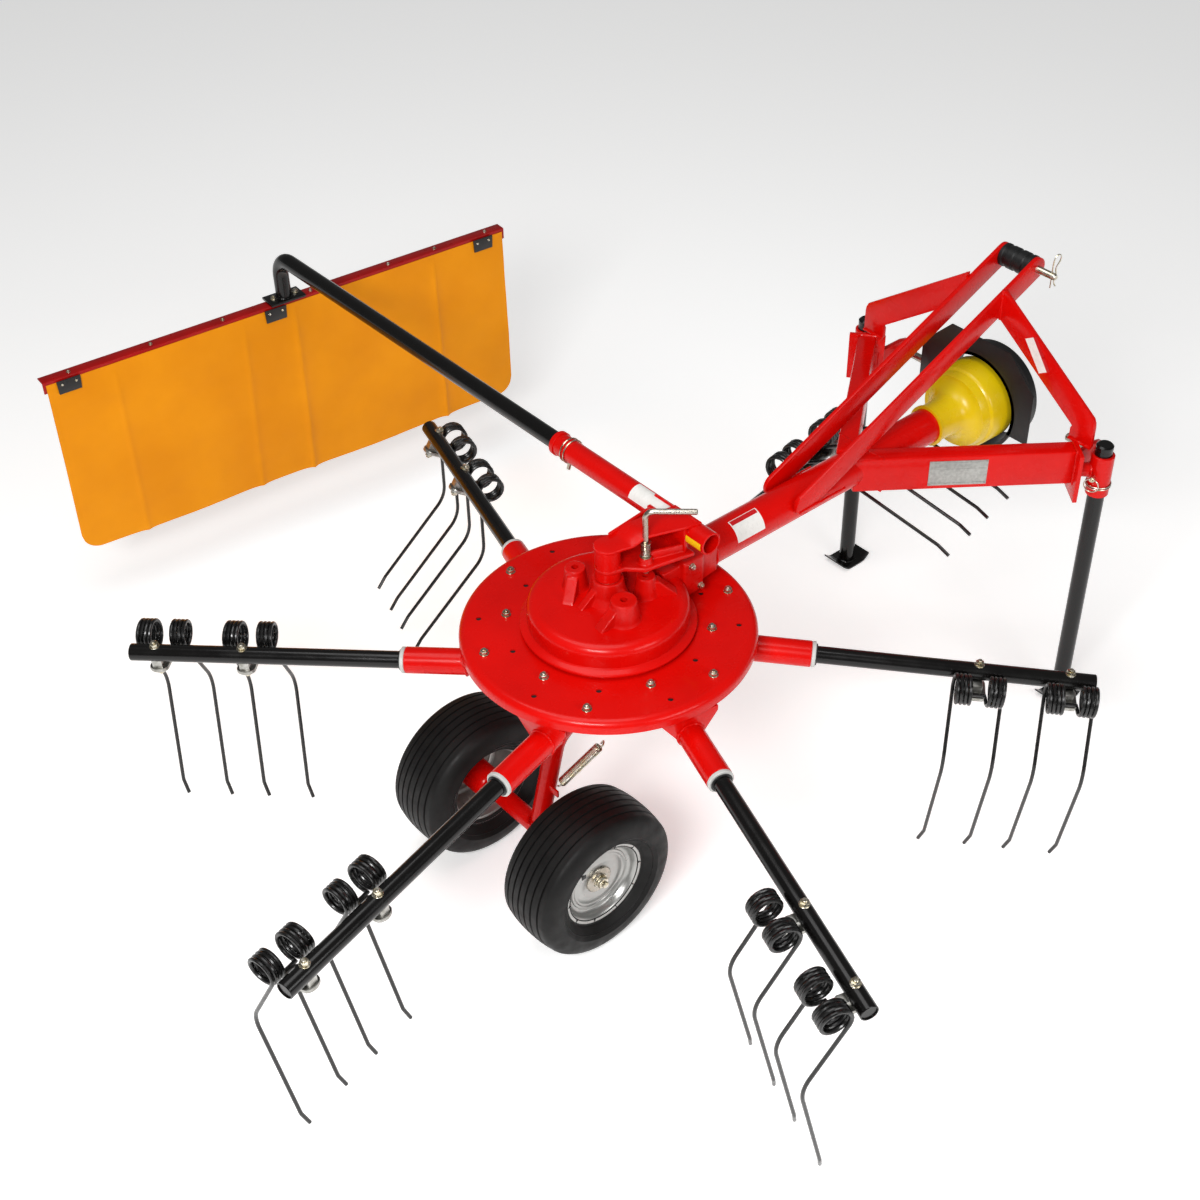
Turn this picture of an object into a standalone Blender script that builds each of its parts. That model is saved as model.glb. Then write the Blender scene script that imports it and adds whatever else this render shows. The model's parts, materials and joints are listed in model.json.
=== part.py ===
"""Single-rotor rotary hay rake with a three-point headstock.

+X is the direction of travel, +Y the machine's left, +Z up, in metres. The machine is laid out
from a datum on the rotor's axis at ground level, and moved at the end so that the origin is
under the middle of the whole machine, on the ground.
"""

import bmesh
import bpy
from math import atan2, cos, hypot, pi, radians, sin, tan
from mathutils import Matrix, Vector

GAP = 0.0003  # between pieces that touch
PIVOT_CLEARANCE = 0.0008  # round a pin or a sliding tube
DRAWN_UNDER = 0.0005  # an arm's bracket below the plate, beside the gap

# Rotor and its arms
ARMS = 6
ARM_LENGTH = 1.15  # rotor axis to the arm's end
ARM_END_HEIGHT = 0.585
ARM_DROOP = radians(2.85)
ARM_OFFSET = 0.059  # the arms' axes pass the rotor's axis at this distance
FIRST_ARM_ANGLE = radians(12.7)  # arm 1 from the direction of travel
ARM_RADIUS = 0.021
ARM_WALL = 0.003
ARM_CLEARANCE = 0.0015  # round an arm in its housing
ARM_START = 0.26
HOUSING_WALL = 0.0095
HOUSING_BORE = ARM_RADIUS + ARM_CLEARANCE
HOUSING_RADIUS = HOUSING_BORE + HOUSING_WALL
HOUSING_START = 0.21
HOUSING_END = 0.483
PLATE_RADIUS = 0.35
PLATE_TOP = 0.727
PLATE_THICKNESS = 0.006
PLATE_LIP = 0.034  # depth of the rolled rim
PLATE_BEND = 0.02
PLATE_BORE = 0.06
COLUMN_CLEARANCE = 0.008  # round the fixed column in the plate's bore
BRACKET_RADII = (0.2, 0.285)  # the two gussets of an arm's bracket
BRACKET_THICKNESS = 0.006
BRACKET_SIDES = (-0.075, 0.085)  # its width beside the arm
BRACKET_LIP_RADIUS = 0.325  # a third gusset, below the plate's rolled edge
CAM_CASE_RADIUS = 0.19
CAM_CASE_BOTTOM = 0.575
CAM_CASE_TOP = PLATE_TOP - 0.018

# Cam roll of each arm at rest, from the working position; raised is positive
ARM_ROLLS = (87.0, -29.0, 0.0, 0.0, 0.0, 0.0)

# Tines
WIRE = 0.0095
COIL_RADIUS = 0.038  # outside
COIL_LENGTH = 0.048
COIL_OFFSET = 0.07  # coil axis to arm axis
TINE_PAIRS = (0.873, 1.088)  # middle of each double tine, along the arm
PAIR_SPREAD = 0.078  # between its two coils
TINE_LEAN = radians(28)
TINE_KNEE = radians(41.5)
TINE_UPPER = 0.2
TINE_LOWER = 0.305
TINE_TIP = 0.04
TINE_TIP_BEND = radians(14)
CLAMP_LENGTH = 0.028
CLAMP_DROP = 0.046

# Gearbox and curtain pivot
GEARBOX_RADIUS = 0.19
GEARBOX_FLANGE_RADIUS = 0.207
GEARBOX_BOTTOM = PLATE_TOP + 0.007
GEARBOX_TOP = GEARBOX_BOTTOM + 0.068
GEARBOX_ROUND = 0.024
BOSS_PLACES = 5
BOSSES = (0, 1, 2, 4)  # the places round the post that carry a pin boss
FIRST_BOSS_ANGLE = radians(-34)
BOSS_PITCH_RADIUS = 0.087
BOSS_RADIUS = 0.021
BOSS_TOP = GEARBOX_TOP + 0.055
BOSS_HOLE_CLEARANCE = 0.0015
LOCK_PIN_RADIUS = 0.007
LOCK_PIN_LIFT = 0.007  # its tip above the boss
LOCK_PIN_RISE = 0.05  # its handle above the yoke
LOCK_PIN_BEND = 0.016
LOCK_PIN_HANDLE = 0.115
LOCK_PIN_HEADING = radians(-42)
POST_RADIUS = 0.019
POST_COLLAR_RADIUS = 0.028
BARREL_WALL = 0.0102
BARREL_RADIUS = POST_RADIUS + PIVOT_CLEARANCE + BARREL_WALL
BARREL_BOTTOM = BOSS_TOP + 0.005
BARREL_TOP = BARREL_BOTTOM + 0.104
YOKE_PLATE = 0.008
YOKE_LOWER = BARREL_BOTTOM + 0.027

# Curtain boom
BOOM_FORWARD = 0.19  # boom axis ahead of the rotor axis
BOOM_HEIGHT = 0.938
BOOM_RADIUS = 0.0225
BOOM_WALL = 0.004
SLEEVE_WALL = 0.0052
SLEEVE_RADIUS = BOOM_RADIUS + PIVOT_CLEARANCE + SLEEVE_WALL
SLEEVE_COLLAR = (0.034, 0.006)  # length and depth of the clamp's collar
SLEEVE_START = -0.14
SLEEVE_END = 0.405
BOOM_START = -0.02
BOOM_REACH = 1.66  # boom's lower end from the rotor axis
BOOM_BEND = 0.055
RAIL_TOP = 0.8
RAIL_LENGTH = 1.48
RAIL_LEG = 0.035
RAIL_WALL = 0.004
RAIL_SKEW = radians(-4.6)
CURTAIN_DROP = 0.565
CURTAIN_THICKNESS = 0.006
CURTAIN_INSET = 0.008  # from each end of the rail

# Drawbar and headstock
DRAWBAR_HEIGHT = 0.79
DRAWBAR_RADIUS = 0.0475
DRAWBAR_WALL = 0.005
DRAWBAR_START = 0.3
DRAWBAR_END = 1.12
NECK_START = 0.15
NECK_HALF_WIDTH = 0.068
BEAM_ROOT = (0.80, 0.012)
BEAM_TIP = (1.25, 0.36)
BEAM_HEIGHT = 0.1
BEAM_WIDTH = 0.05
END_PLATE_WIDTH = 0.1
END_PLATE_THICKNESS = 0.012
END_PLATE_BOTTOM = 0.698
STAND_PLACE = (1.303, 0.4125)
STAND_RADIUS = 0.0225
STAND_LENGTH = 0.85
STAND_SLEEVE_WALL = 0.0067
STAND_SLEEVE_RADIUS = STAND_RADIUS + PIVOT_CLEARANCE + STAND_SLEEVE_WALL
STUB_RADIUS = 0.019
STAND_SLEEVE = (0.7, 0.82)
FOOT_LENGTH = 0.11
FOOT_WIDTH = 0.085
FOOT_THICKNESS = 0.006
LUG_REACH = 0.16
LUG_THICKNESS = 0.014
LUG_DEPTH = 0.07
LUG_INSET = 0.022  # in from a beam's tip
LUG_START = 0.018  # ahead of a beam's tip
LOWER_PIN_INSET = 0.03  # back from the lug's end
PIN_HEAD = (0.018, 0.01)  # radius and thickness
LOWER_PIN_RADIUS = 0.011
LOWER_PIN_LENGTH = 0.085
STRUT_FORWARD = 1.275
STRUT_THICKNESS = 0.012
STRUT_WIDTH = 0.07
STRUT_KNEE = 0.9
STRUT_OUTSET = 0.032  # out from a beam's tip
BRACE_THICKNESS = 0.012
BRACE_DEPTH = 0.06
BRACE_FOOT = (0.585, 0.815)
TOP_PIN_PLACE = (1.4, 1.165)
TOP_PIN_RADIUS = 0.0095
TOP_PIN_LENGTH = 0.19
BUSHING_RADIUS = 0.031

# Driveline guards
GUARD_THICKNESS = 0.005
GUARD_COLLAR_RADIUS = 0.135
GUARD_COLLAR_LENGTH = 0.1
GUARD_HALF_WIDTH = 0.19
GUARD_BELOW = 0.05
GUARD_ABOVE = 0.19
GUARD_CORNER = 0.09
GUARD_COLLAR_WALL = 0.004
BELL_START = 1.095
BELL_NECK = 0.07
BELL_END = 1.31
BELL_RADIUS = 0.115
BELL_WALL = 0.004
SHAFT_RADIUS = 0.0175
SHAFT_START = 1.02
SHAFT_END = 1.2
SPLINES = 6
SPLINE_DEPTH = 0.003
SPLINE_WIDTH = 0.008
BEARING_INSET = 0.03  # in from the drawbar's end
BEARING_LENGTH = 0.02

# Wheels
TYRE_RADIUS = 0.2025
TYRE_WIDTH = 0.18
RIM_RADIUS = 0.115
RIM_WIDTH = 0.13
RIM_WALL = 0.004
RIM_FLANGE = 0.012
TRACK = 0.44
AXLE_SHIFT = 0.035  # the axle's middle stands to the left of the king post
AXLE_BACK = 0.235
AXLE_RADIUS = 0.0125
AXLE_BEAM_RADIUS = 0.024
AXLE_BEAM_LENGTH = TRACK - 0.156
HUB_RADIUS = 0.036
KING_POST_RADIUS = 0.03
KING_POST_BOTTOM = 0.43
KING_CAP_RADIUS = 0.036
KING_SHOULDER_RADIUS = 0.055
BOGIE_BARREL_WALL = 0.0112
BOGIE_BARREL_RADIUS = KING_POST_RADIUS + PIVOT_CLEARANCE + BOGIE_BARREL_WALL
BOGIE_BARREL = (0.45, 0.55)
BOGIE_TUBE_RADIUS = 0.024
SPRING_RADIUS = 0.011
SPRING_SEAT = 0.0075  # from a spring end to the lug that holds it
SPRING_TOP = (-0.118, -0.118, 0.5)
SPRING_FOOT = (-0.203, -0.041, 0.352)

PAINT_RED = ((0.62, 0.012, 0.01), 0.3, 0.0)
PAINT_DARK_RED = ((0.3, 0.01, 0.012), 0.4, 0.0)
PAINT_BLACK = ((0.006, 0.006, 0.006), 0.25, 0.0)
ZINC = ((0.6, 0.58, 0.5), 0.35, 1.0)
STEEL = ((0.5, 0.48, 0.45), 0.35, 1.0)
SPRING_BLACK = ((0.005, 0.005, 0.006), 0.3, 0.0)
RUBBER = ((0.012, 0.012, 0.012), 0.75, 0.0)
SILVER = ((0.55, 0.56, 0.58), 0.4, 0.6)
YELLOW = ((0.85, 0.68, 0.02), 0.35, 0.0)
CANVAS = ((0.82, 0.42, 0.02), 0.55, 0.0)
GUARD_BLACK = ((0.01, 0.01, 0.011), 0.5, 0.0)

for old in list(bpy.data.objects):
    bpy.data.objects.remove(old, do_unlink=True)
parts = bpy.data.collections.new("rotary_hay_rake")
cutters = bpy.data.collections.new("cutters")
cutters.hide_render = True
for collection in (parts, cutters):
    bpy.context.scene.collection.children.link(collection)


# ---------- helpers ----------


def finish_of(name, finish):
    """A material of the part's own, from (colour, roughness, metallic)."""
    colour, roughness, metallic = finish
    made = bpy.data.materials.new(name)
    made.use_nodes = True
    shader = made.node_tree.nodes["Principled BSDF"]
    shader.inputs["Base Color"].default_value = (*colour, 1)
    shader.inputs["Roughness"].default_value = roughness
    shader.inputs["Metallic"].default_value = metallic
    return made


def empty(name, parent, place=(0, 0, 0), turn=(0, 0, 0)):
    """An empty that carries pieces, on a joint's axis."""
    made = bpy.data.objects.new(name, None)
    parts.objects.link(made)
    made.parent = parent
    made.location = place
    made.rotation_euler = turn
    return made


def settle(obj, name, finish, parent, place=(0, 0, 0), turn=(0, 0, 0), smooth=True):
    """Names a new object, places it under its parent and gives it its own material."""
    for held in list(obj.users_collection):
        held.objects.unlink(obj)
    parts.objects.link(obj)
    obj.name = name
    obj.data.name = name
    obj.parent = parent
    obj.location = place
    obj.rotation_euler = turn
    obj.data.materials.clear()
    obj.data.materials.append(finish_of(name + "_finish", finish))
    if smooth and obj.type == "MESH":
        obj.data.shade_smooth()
        obj.data.set_sharp_from_angle(angle=radians(35))
    return obj


def box(size, place=(0, 0, 0), turn=(0, 0, 0)):
    """A box whose place and turn are in its mesh, so that its object stays at its parent."""
    bpy.ops.mesh.primitive_cube_add(size=1)
    made = bpy.context.object
    made.data.transform(Matrix.Diagonal((*size, 1)))
    return bake(made, place, turn)


def bake(obj, place=(0, 0, 0), turn=(0, 0, 0)):
    """Moves the mesh instead of the object."""
    matrix = Matrix.Translation(place) @ euler(turn)
    obj.data.transform(matrix)
    return obj


def euler(turn):
    return (
        Matrix.Rotation(turn[2], 4, "Z")
        @ Matrix.Rotation(turn[1], 4, "Y")
        @ Matrix.Rotation(turn[0], 4, "X")
    )


def rod(start, end, radius, sides=16, end_radius=None):
    """A cylinder or cone between two points."""
    start, end = Vector(start), Vector(end)
    axis = end - start
    bpy.ops.mesh.primitive_cone_add(
        vertices=sides,
        radius1=radius,
        radius2=radius if end_radius is None else end_radius,
        depth=axis.length,
    )
    made = bpy.context.object
    turn = axis.to_track_quat("Z", "Y").to_matrix().to_4x4()
    made.data.transform(Matrix.Translation((start + end) / 2) @ turn)
    return made


def mesh_of(obj):
    """The same shape as a plain mesh object, with its modifiers or curve evaluated."""
    bpy.context.view_layer.update()
    graph = bpy.context.evaluated_depsgraph_get()
    mesh = bpy.data.meshes.new_from_object(obj.evaluated_get(graph))
    made = bpy.data.objects.new(obj.name, mesh)
    bpy.context.scene.collection.objects.link(made)
    weld(mesh)
    mesh.transform(obj.matrix_world)
    bpy.data.objects.remove(obj, do_unlink=True)
    return made


def weld(mesh):
    """Joins the loose caps of a mesh that was a curve."""
    work = bmesh.new()
    work.from_mesh(mesh)
    bmesh.ops.remove_doubles(work, verts=work.verts, dist=1e-5)
    work.to_mesh(mesh)
    work.free()


def turned(profile, steps=32, axis="Z"):
    """A turned solid from (radius, height) points down its outer side, closed on the axis."""
    mesh = bpy.data.meshes.new("turned")
    mesh.from_pydata([(r, 0, z) for r, z in profile], [(i, i + 1) for i in range(len(profile) - 1)], [])
    made = bpy.data.objects.new("turned", mesh)
    bpy.context.scene.collection.objects.link(made)
    screw = made.modifiers.new("turn", "SCREW")
    screw.steps = screw.render_steps = steps
    screw.use_merge_vertices = True
    screw.merge_threshold = 1e-5
    made = mesh_of(made)
    return bake(made, turn={"Z": (0, 0, 0), "X": (0, pi / 2, 0), "Y": (-pi / 2, 0, 0)}[axis])


def tube(inner, outer, low, high, steps=24, axis="Z"):
    """A plain pipe."""
    ring = [(outer, high), (outer, low), (inner, low), (inner, high), (outer, high)]
    return turned(ring, steps, axis)


def plate(outline, thickness):
    """A flat plate in the XY plane from a closed outline, with its middle at z = 0."""
    curve = bpy.data.curves.new("outline", "CURVE")
    curve.dimensions = "2D"
    curve.fill_mode = "BOTH"
    curve.extrude = thickness / 2
    spline = curve.splines.new("POLY")
    spline.points.add(len(outline) - 1)
    for point, (x, y) in zip(spline.points, outline):
        point.co = (x, y, 0, 1)
    spline.use_cyclic_u = True
    made = bpy.data.objects.new("plate", curve)
    bpy.context.scene.collection.objects.link(made)
    return mesh_of(made)


def wire(points, radius, sides=8):
    """A bent rod through points."""
    curve = bpy.data.curves.new("wire", "CURVE")
    curve.dimensions = "3D"
    curve.bevel_depth = radius
    curve.bevel_resolution = (sides - 4) // 2
    curve.use_fill_caps = True
    spline = curve.splines.new("POLY")
    spline.points.add(len(points) - 1)
    for point, place in zip(spline.points, points):
        point.co = (*place, 1)
    made = bpy.data.objects.new("wire", curve)
    bpy.context.scene.collection.objects.link(made)
    return mesh_of(made)


def arc(centre, radius, start, end, steps):
    """Points of a round stretch in a plane, as (x, y)."""
    return [
        (
            centre[0] + radius * cos(start + (end - start) * i / steps),
            centre[1] + radius * sin(start + (end - start) * i / steps),
        )
        for i in range(steps + 1)
    ]


def combine(target, others, operation):
    """Cuts or joins others into target; they stay as helpers among the cutters."""
    for other in others:
        modifier = target.modifiers.new(operation.lower(), "BOOLEAN")
        modifier.operation = operation
        modifier.object = other
        for held in list(other.users_collection):
            held.objects.unlink(other)
        cutters.objects.link(other)
        other.hide_render = True
        other.display_type = "WIRE"
    solid = mesh_of(target)
    for other in others:
        other.hide_set(True)
    return solid


def join(target, *others):
    return combine(target, others, "UNION")


def cut(target, *others):
    return combine(target, others, "DIFFERENCE")


def sides():
    """Left and right of the machine, with the sign of Y."""
    return (("left", 1), ("right", -1))


# ---------- rotor ----------


def rotor_plate():
    """The pressed disc with its rolled rim."""
    top, under = PLATE_TOP, PLATE_TOP - PLATE_THICKNESS
    bend = PLATE_BEND
    outer = arc((PLATE_RADIUS - bend, top - bend), bend, pi / 2, 0, 2)
    inner_bend = bend - PLATE_THICKNESS
    inner = arc((PLATE_RADIUS - bend, top - bend), inner_bend, 0, pi / 2, 2)
    profile = [(PLATE_BORE, top), *outer, (PLATE_RADIUS, top - PLATE_LIP)]
    profile += [(PLATE_RADIUS - PLATE_THICKNESS, top - PLATE_LIP), *inner]
    profile += [(PLATE_BORE, under), (PLATE_BORE, top)]
    return turned(profile, 32)


def arm_frame(index):
    """Place and turn of an arm's axis, whose local X runs outwards along the arm."""
    angle = FIRST_ARM_ANGLE + index * 2 * pi / ARMS
    height = ARM_END_HEIGHT + ARM_LENGTH * tan(ARM_DROOP)
    place = (-ARM_OFFSET * sin(angle), ARM_OFFSET * cos(angle), height)
    return place, (0, ARM_DROOP, angle)


def arm_housing():
    """A bearing tube with the gusseted bracket that bolts under the plate."""
    shell = rod((HOUSING_START, 0, 0), (HOUSING_END, 0, 0), HOUSING_RADIUS, 12)
    low, high = BRACKET_SIDES
    pieces = []
    for radius in BRACKET_RADII:
        top = rise_to_plate(radius)
        outline = [(low, top), (high, top), (high, top - 0.01)]
        side, foot = HOUSING_RADIUS * 0.85, -HOUSING_RADIUS * 0.5
        outline += [(side, foot), (-side, foot)]
        outline += [(low, top - 0.01)]
        gusset = plate(outline[::-1], BRACKET_THICKNESS)
        pieces.append(bake(gusset, (radius, 0, 0), (pi / 2, 0, pi / 2)))
    lip = axis_to_lip(BRACKET_LIP_RADIUS)
    outline = [(low, lip), (low, lip - 0.014), (-side, foot), (side, foot), (high, lip - 0.014), (high, lip)]
    gusset = plate(outline, BRACKET_THICKNESS)
    pieces.append(bake(gusset, (BRACKET_LIP_RADIUS, 0, 0), (pi / 2, 0, pi / 2)))
    first, last = BRACKET_RADII
    middle, length = (first + last) / 2, last - first + BRACKET_THICKNESS
    top = rise_to_plate(middle)
    flange = box(
        (length, high - low, BRACKET_THICKNESS),
        (middle, (low + high) / 2, top - BRACKET_THICKNESS / 2),
        (0, -ARM_DROOP, 0),
    )
    pieces.append(flange)
    bore = rod((HOUSING_START - 0.01, 0, 0), (HOUSING_END + 0.01, 0, 0), HOUSING_BORE, 12)
    return cut(join(shell, *pieces), bore)


def rise_to_plate(along):
    """Height from an arm's axis to the underside of the rotor plate."""
    axis = ARM_END_HEIGHT + (ARM_LENGTH - along) * tan(ARM_DROOP)
    return PLATE_TOP - PLATE_THICKNESS - GAP - DRAWN_UNDER - axis


def axis_to_lip(along):
    """Height from an arm's axis to just under the plate's rolled edge."""
    return rise_to_plate(along) - (PLATE_LIP - PLATE_THICKNESS) - 2 * GAP


def tine_arm():
    """An arm tube with a clamp block under it for each double tine."""
    shell = tube(ARM_RADIUS - ARM_WALL, ARM_RADIUS, ARM_START, ARM_LENGTH, 12, "X")
    inner_side = -(COIL_OFFSET - coil_mean() * 0.5) + WIRE / 2 + GAP
    pieces = []
    for middle in TINE_PAIRS:
        block_top = -ARM_RADIUS * 0.8
        block = box(
            (CLAMP_LENGTH, 0.018 - inner_side, block_top + CLAMP_DROP),
            (middle, (0.018 + inner_side) / 2, (block_top - CLAMP_DROP) / 2),
        )
        jaw_top = -coil_mean() * sin(radians(60)) - WIRE / 2 - GAP
        jaw = box(
            (CLAMP_LENGTH, 0.03, jaw_top + CLAMP_DROP),
            (middle, inner_side - 0.01, (jaw_top - CLAMP_DROP) / 2),
        )
        nut = rod((middle, 0, ARM_RADIUS * 0.8), (middle, 0, ARM_RADIUS + 0.014), 0.011, 6)
        pieces += [block, jaw, nut]
    return join(shell, *pieces)


def coil_mean():
    """Radius of a coil's wire centre line."""
    return COIL_RADIUS - WIRE / 2


def double_tine(middle):
    """Two coils joined under the arm's clamp, each with its kneed leg at the outer end."""
    body = None
    bridge_place = (-COIL_OFFSET + coil_mean() * 0.5, -coil_mean() * sin(radians(60)))
    for side in (-1, 1):
        coil_middle = middle + side * PAIR_SPREAD / 2
        low, high = coil_middle - COIL_LENGTH / 2, coil_middle + COIL_LENGTH / 2
        coil = tube(COIL_RADIUS - WIRE, COIL_RADIUS, low, high, 8, "X")
        bake(coil, (0, -COIL_OFFSET, 0))
        leg = wire(tine_leg(coil_middle + side * (COIL_LENGTH - WIRE) / 2, side), WIRE / 2, 6)
        body = join(coil, leg) if body is None else join(body, coil, leg)
    reach = PAIR_SPREAD / 2 - COIL_LENGTH / 4
    bridge = rod((middle - reach, *bridge_place), (middle + reach, *bridge_place), WIRE / 2, 8)
    return join(body, bridge)


def tine_leg(along, side):
    """Centre line of a leg, from the arm side of its coil to the ground."""
    lean, knee = TINE_LEAN, TINE_LEAN - TINE_KNEE
    upper, lower = Vector((-sin(lean), -cos(lean))), Vector((-sin(knee), -cos(knee)))
    root = Vector((-COIL_OFFSET, 0)) + coil_mean() * Vector((cos(lean), -sin(lean)))
    corner = root + TINE_UPPER * upper
    round_off = 0.022
    flat = [root - 0.004 * upper, corner - round_off * upper, corner + round_off * lower]
    end = corner + TINE_LOWER * lower
    flat.append(end)
    points = [(along, y, z) for y, z in flat]
    tip = end + TINE_TIP * cos(TINE_TIP_BEND) * lower
    points.append((along - TINE_TIP * sin(TINE_TIP_BEND), *tip))
    return points


# ---------- gearbox, wheels' post and curtain yoke ----------


def gearbox_housing():
    """The cast drum over the rotor, its pin bosses and the neck for the drawbar."""
    step = GEARBOX_BOTTOM + 0.02
    profile = [(0, GEARBOX_TOP)]
    profile += arc((GEARBOX_RADIUS - GEARBOX_ROUND, GEARBOX_TOP - GEARBOX_ROUND), GEARBOX_ROUND, pi / 2, 0, 3)
    profile += [(GEARBOX_RADIUS, step), (GEARBOX_FLANGE_RADIUS, step - 0.006)]
    profile += [(GEARBOX_FLANGE_RADIUS, GEARBOX_BOTTOM), (0, GEARBOX_BOTTOM)]
    drum = turned(profile, 32)
    pieces = []
    for i in BOSSES:
        angle = FIRST_BOSS_ANGLE + i * 2 * pi / BOSS_PLACES
        x, y = BOSS_PITCH_RADIUS * cos(angle), BOSS_PITCH_RADIUS * sin(angle)
        pieces.append(rod((x, y, GEARBOX_TOP - 0.01), (x, y, BOSS_TOP), BOSS_RADIUS * 1.35, 10, BOSS_RADIUS))
    neck_length = DRAWBAR_START - GAP - NECK_START
    neck_bottom = GEARBOX_BOTTOM + 0.004
    neck_top = DRAWBAR_HEIGHT + DRAWBAR_RADIUS + 0.008
    pieces.append(
        box(
            (neck_length, 2 * NECK_HALF_WIDTH, neck_top - neck_bottom),
            (NECK_START + neck_length / 2, 0, (neck_top + neck_bottom) / 2),
        )
    )
    holes = []
    hole_radius = LOCK_PIN_RADIUS + BOSS_HOLE_CLEARANCE
    for i in BOSSES:
        angle = FIRST_BOSS_ANGLE + i * 2 * pi / BOSS_PLACES
        x, y = BOSS_PITCH_RADIUS * cos(angle), BOSS_PITCH_RADIUS * sin(angle)
        holes.append(rod((x, y, BOSS_TOP - 0.035), (x, y, BOSS_TOP + 0.01), hole_radius, 8))
    return cut(join(drum, *pieces), *holes)


def curtain_post():
    """The pivot pin that the curtain's yoke turns on."""
    low = GEARBOX_TOP + GAP
    seat = BARREL_BOTTOM - PIVOT_CLEARANCE
    top = BARREL_TOP - YOKE_PLATE - 0.012
    profile = [(0, top), (POST_RADIUS, top), (POST_RADIUS, seat), (POST_COLLAR_RADIUS, seat)]
    return turned(profile + [(POST_COLLAR_RADIUS, low), (0, low)], 20)


def lock_pin_place():
    return BOSS_PITCH_RADIUS * cos(FIRST_BOSS_ANGLE), BOSS_PITCH_RADIUS * sin(FIRST_BOSS_ANGLE)


def curtain_yoke():
    """Pivot barrel, two plates, webs and the sleeve that the boom slides in."""
    roof = BARREL_TOP - YOKE_PLATE - 0.01
    bore = POST_RADIUS + PIVOT_CLEARANCE
    barrel = rod((0, 0, BARREL_BOTTOM), (0, 0, BARREL_TOP), BARREL_RADIUS, 24)
    sleeve = along_boom(SLEEVE_START, SLEEVE_END, SLEEVE_RADIUS)
    pin_x, pin_y = lock_pin_place()
    front = BOOM_FORWARD + 0.004
    outline = [(front, -0.098), (front, 0.062), (0.1, 0.052), (0.035, 0.03)]
    outline += arc((0, 0), BARREL_RADIUS - 0.001, pi / 2, 3 * pi / 2, 8)
    outline += [(0.02, -0.036), (pin_x - 0.02, pin_y - 0.022), (pin_x + 0.022, pin_y - 0.03)]
    bore_column = rod((0, 0, BARREL_BOTTOM - 0.02), (0, 0, roof), bore, 20)
    plates = []
    for height in (BARREL_TOP - YOKE_PLATE / 2 - 0.0004, YOKE_LOWER + YOKE_PLATE / 2):
        plates.append(bake(plate(outline[::-1], YOKE_PLATE), (0, 0, height)))
    web_low, web_high = YOKE_LOWER + YOKE_PLATE / 2, BARREL_TOP - YOKE_PLATE
    web_height, web_middle = web_high - web_low, (web_high + web_low) / 2
    webs = [
        box((0.01, 0.13, web_height), (BOOM_FORWARD - SLEEVE_RADIUS, -0.02, web_middle)),
        box((0.13, 0.008, web_height), (0.09, 0.026, web_middle), (0, 0, radians(8))),
    ]
    collar_length, collar_depth = SLEEVE_COLLAR
    collar_end = SLEEVE_END + 0.002
    collar = along_boom(collar_end - collar_length - 0.002, collar_end, SLEEVE_RADIUS + collar_depth)
    boom_column = along_boom(SLEEVE_START - 0.01, SLEEVE_END + 0.01, BOOM_RADIUS + PIVOT_CLEARANCE)
    pin_hole = rod(
        (pin_x, pin_y, YOKE_LOWER - 0.01),
        (pin_x, pin_y, BARREL_TOP + 0.01),
        LOCK_PIN_RADIUS + PIVOT_CLEARANCE,
        12,
    )
    return cut(join(barrel, sleeve, *plates, *webs, collar), boom_column, bore_column, pin_hole)


def along_boom(start, end, radius):
    """A round solid on the boom's axis."""
    return rod((BOOM_FORWARD, start, BOOM_HEIGHT), (BOOM_FORWARD, end, BOOM_HEIGHT), radius, 20)


def lock_pin():
    """The L-handled pin, lifted just clear of the gearbox's boss."""
    x, y = lock_pin_place()
    top = BARREL_TOP + LOCK_PIN_RISE
    bend = LOCK_PIN_BEND
    away = Vector((cos(LOCK_PIN_HEADING), sin(LOCK_PIN_HEADING), 0))
    points = [Vector((x, y, BOSS_TOP + LOCK_PIN_LIFT)), Vector((x, y, top - bend))]
    for i in (1, 2, 3):
        turn = i * pi / 6
        points.append(Vector((x, y, top - bend + bend * sin(turn))) + away * bend * (1 - cos(turn)))
    points.append(Vector((x, y, top)) + away * LOCK_PIN_HANDLE)
    return wire(points, LOCK_PIN_RADIUS, 10)


def boom_tube():
    """The telescoping boom, bent down to the rail's flange."""
    top = BOOM_HEIGHT
    foot = RAIL_TOP + GAP + 0.004
    points = [(0, BOOM_START, top)]
    for i in range(5):
        turn = i * pi / 8
        y = BOOM_REACH - BOOM_BEND + BOOM_BEND * sin(turn)
        points.append((0, y, top - BOOM_BEND + BOOM_BEND * cos(turn)))
    points.append((0, BOOM_REACH, foot))
    tube_body = wire(points, BOOM_RADIUS, 16)
    flange = box((0.11, 0.06, 0.008), (0, 0, 0), (0, 0, RAIL_SKEW))
    bake(flange, (0, BOOM_REACH, foot))
    bore = rod((0, BOOM_START - 0.01, top), (0, BOOM_START + 0.4, top), BOOM_RADIUS - BOOM_WALL, 12)
    return cut(join(tube_body, flange), bore)


def rail_frame():
    """Place of the rail's middle, on the top of its inner side."""
    return (BOOM_FORWARD, BOOM_REACH - 0.02, RAIL_TOP), (0, 0, RAIL_SKEW)


def curtain_rail():
    """Angle iron: one leg flat outwards, one leg down, with the curtain on its inner face."""
    leg, wall = RAIL_LEG, RAIL_WALL
    outline = [(0, 0), (leg, 0), (leg, -wall), (wall, -wall), (wall, -leg), (0, -leg)]
    angle = plate(outline[::-1], RAIL_LENGTH)
    return bake(angle, turn=(pi / 2, 0, pi / 2))


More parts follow.
